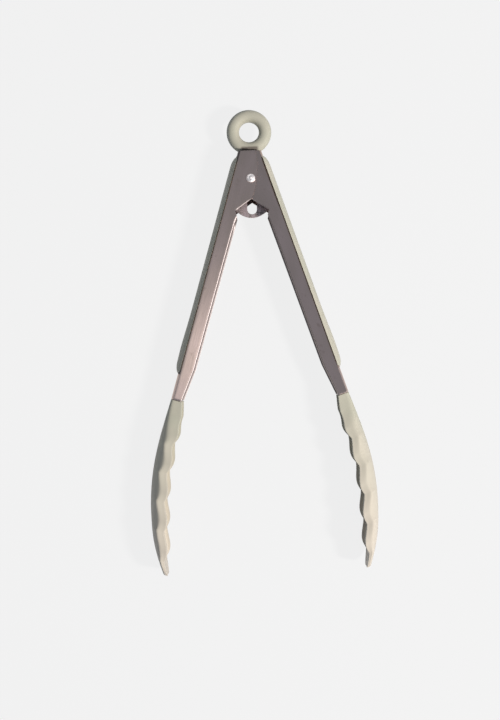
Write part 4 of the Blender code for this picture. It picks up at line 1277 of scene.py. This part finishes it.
def build_camera(stage):
    """A camera straight above, at the height and turn from which the tongs are seen."""
    data = bpy.data.cameras.new("view_from_above")
    data.sensor_fit = "VERTICAL"
    data.sensor_height = SENSOR_HEIGHT
    data.lens = SENSOR_HEIGHT * stage.pixel_focal / stage.frame_height
    data.shift_x = -stage.principal_x / stage.frame_height
    camera = add_object("view_from_above", data)
    camera.location = (*CAMERA_PLACE, stage.camera_height)
    camera.rotation_euler = (0.0, 0.0, -stage.roll)
    bpy.context.scene.camera = camera


# Operators


class TONGS_OT_arms(Operator):
    """Builds both steel channels"""

    bl_idname = "tongs.arms"
    bl_label = "Steel arms"

    def execute(self, context):
        arm = context.scene.tongs_arm
        looks = context.scene.tongs_finish
        for word, side in SIDES:
            made = build_arm(arm, side, word)
            steel = satin_steel(f"{word}_satin_steel", looks, arm, side)
            edges = (shared("hem_steel", looks), shared("cut_steel", looks))
            dress(made, f"{word}_arm", f"{word}_arm", steel, *edges)
        return {"FINISHED"}


class TONGS_OT_grips(Operator):
    """Builds both silicone grips"""

    bl_idname = "tongs.grips"
    bl_label = "Grips"

    def execute(self, context):
        skin = shared("sage_silicone", context.scene.tongs_finish, silicone)
        for word, side in SIDES:
            made = build_grip(context.scene.tongs_arm, context.scene.tongs_grip, side, word)
            dress(made, f"{word}_arm", f"{word}_grip", skin)
        return {"FINISHED"}


class TONGS_OT_heads(Operator):
    """Builds both scalloped silicone heads"""

    bl_idname = "tongs.heads"
    bl_label = "Heads"

    def execute(self, context):
        skin = shared("sage_silicone", context.scene.tongs_finish, silicone)
        for word, side in SIDES:
            made = build_head(context.scene.tongs_arm, context.scene.tongs_head, side, word)
            dress(made, f"{word}_arm", f"{word}_head", skin)
        return {"FINISHED"}


class TONGS_OT_ring(Operator):
    """Builds the hanging ring"""

    bl_idname = "tongs.ring"
    bl_label = "Hanging ring"

    def execute(self, context):
        skin = shared("sage_silicone", context.scene.tongs_finish, silicone)
        made = build_ring(context.scene.tongs_arm, context.scene.tongs_ring)
        dress(made, "lock", "pull_ring", skin)
        return {"FINISHED"}


class TONGS_OT_plate(Operator):
    """Builds the lock plate"""

    bl_idname = "tongs.plate"
    bl_label = "Lock plate"

    def execute(self, context):
        steel = shared("tumbled_steel", context.scene.tongs_finish, tumbled_steel)
        dress(build_plate(context.scene.tongs_plate), "lock", "lock_plate", steel)
        return {"FINISHED"}


class TONGS_OT_rivets(Operator):
    """Builds the pivot and the flush rivets"""

    bl_idname = "tongs.rivets"
    bl_label = "Rivets"

    def execute(self, context):
        arm = context.scene.tongs_arm
        rivet = context.scene.tongs_rivet
        bright = shared("polished_steel", context.scene.tongs_finish)
        dress(build_pivot(arm, rivet), "pivot", "pivot_rivet", bright)
        for word, side in SIDES:
            made = build_core_rivet(arm, rivet, side, word)
            dress(made, f"{word}_arm", f"{word}_core_rivet", bright)
        return {"FINISHED"}


class TONGS_OT_spring(Operator):
    """Builds the torsion spring"""

    bl_idname = "tongs.spring"
    bl_label = "Torsion spring"

    def execute(self, context):
        spring = context.scene.tongs_spring
        leg, coil, half = spring_paths(context.scene.tongs_arm, spring)
        wire = shared("drawn_wire", context.scene.tongs_finish)
        for word, mirror in (("near", 1), ("far", -1)):
            flip = (1, 1, mirror)
            made = tube(f"torsion_spring_{word}_coil", coil * flip + PIVOT, spring.wire)
            dress(made, "pivot", "torsion_spring", wire)
            made = tube(f"torsion_spring_{word}_leg", leg * flip + PIVOT, spring.wire)
            dress(made, None, "torsion_spring", wire)
            follow(made)
        path = np.concatenate([half, half[::-1] * (1, 1, -1)]) + PIVOT
        made = tube("torsion_spring_bridge", path, spring.wire)
        dress(made, None, "torsion_spring", wire)
        follow(made)
        return {"FINISHED"}


class TONGS_OT_inner_parts(Operator):
    """Gives the pieces whose solids stay their finishes"""

    bl_idname = "tongs.inner_parts"
    bl_label = "Inner parts"

    def execute(self, context):
        looks = context.scene.tongs_finish
        kept = {"pivot_sleeve": shared("drawn_wire", looks)}
        for node in ("near_washer", "far_washer", "left_core", "right_core"):
            kept[node] = shared("moulded_nylon", looks)
        for node, finish in kept.items():
            piece = frame["nodes"][node]
            piece.data.materials.clear()
            piece.data.materials.append(finish)
        return {"FINISHED"}


class TONGS_OT_stage(Operator):
    """Builds the floor, the lights and the camera"""

    bl_idname = "tongs.stage"
    bl_label = "Stage"

    def execute(self, context):
        stage = context.scene.tongs_stage
        build_floor(stage)
        build_lights(stage)
        build_camera(stage)
        context.scene.view_settings.view_transform = "Standard"
        return {"FINISHED"}


STEPS = (
    TONGS_OT_arms,
    TONGS_OT_grips,
    TONGS_OT_heads,
    TONGS_OT_ring,
    TONGS_OT_plate,
    TONGS_OT_rivets,
    TONGS_OT_spring,
    TONGS_OT_inner_parts,
    TONGS_OT_stage,
)


class TONGS_PT_panel(Panel):
    """Lists the steps"""

    bl_idname = "TONGS_PT_panel"
    bl_label = "Tongs"
    bl_space_type = "VIEW_3D"
    bl_region_type = "UI"
    bl_category = "Tongs"

    def draw(self, context):
        for step in STEPS:
            self.layout.operator(step.bl_idname)


SETTINGS = {
    "tongs_arm": ArmSettings,
    "tongs_grip": GripSettings,
    "tongs_head": HeadSettings,
    "tongs_ring": RingSettings,
    "tongs_plate": PlateSettings,
    "tongs_rivet": RivetSettings,
    "tongs_spring": SpringSettings,
    "tongs_finish": FinishSettings,
    "tongs_stage": StageSettings,
}


def register():
    """Registers the settings, the steps and the panel."""
    for name, group in SETTINGS.items():
        bpy.utils.register_class(group)
        setattr(bpy.types.Scene, name, PointerProperty(type=group))
    for step in STEPS:
        bpy.utils.register_class(step)
    bpy.utils.register_class(TONGS_PT_panel)


def unregister():
    """Takes them out again."""
    bpy.utils.unregister_class(TONGS_PT_panel)
    for step in reversed(STEPS):
        bpy.utils.unregister_class(step)
    for name, group in SETTINGS.items():
        delattr(bpy.types.Scene, name)
        bpy.utils.unregister_class(group)


def main():
    """Runs every step in order."""
    register()
    for step in STEPS:
        family, action = step.bl_idname.split(".")
        getattr(getattr(bpy.ops, family), action)()


if __name__ == "__main__":
    main()
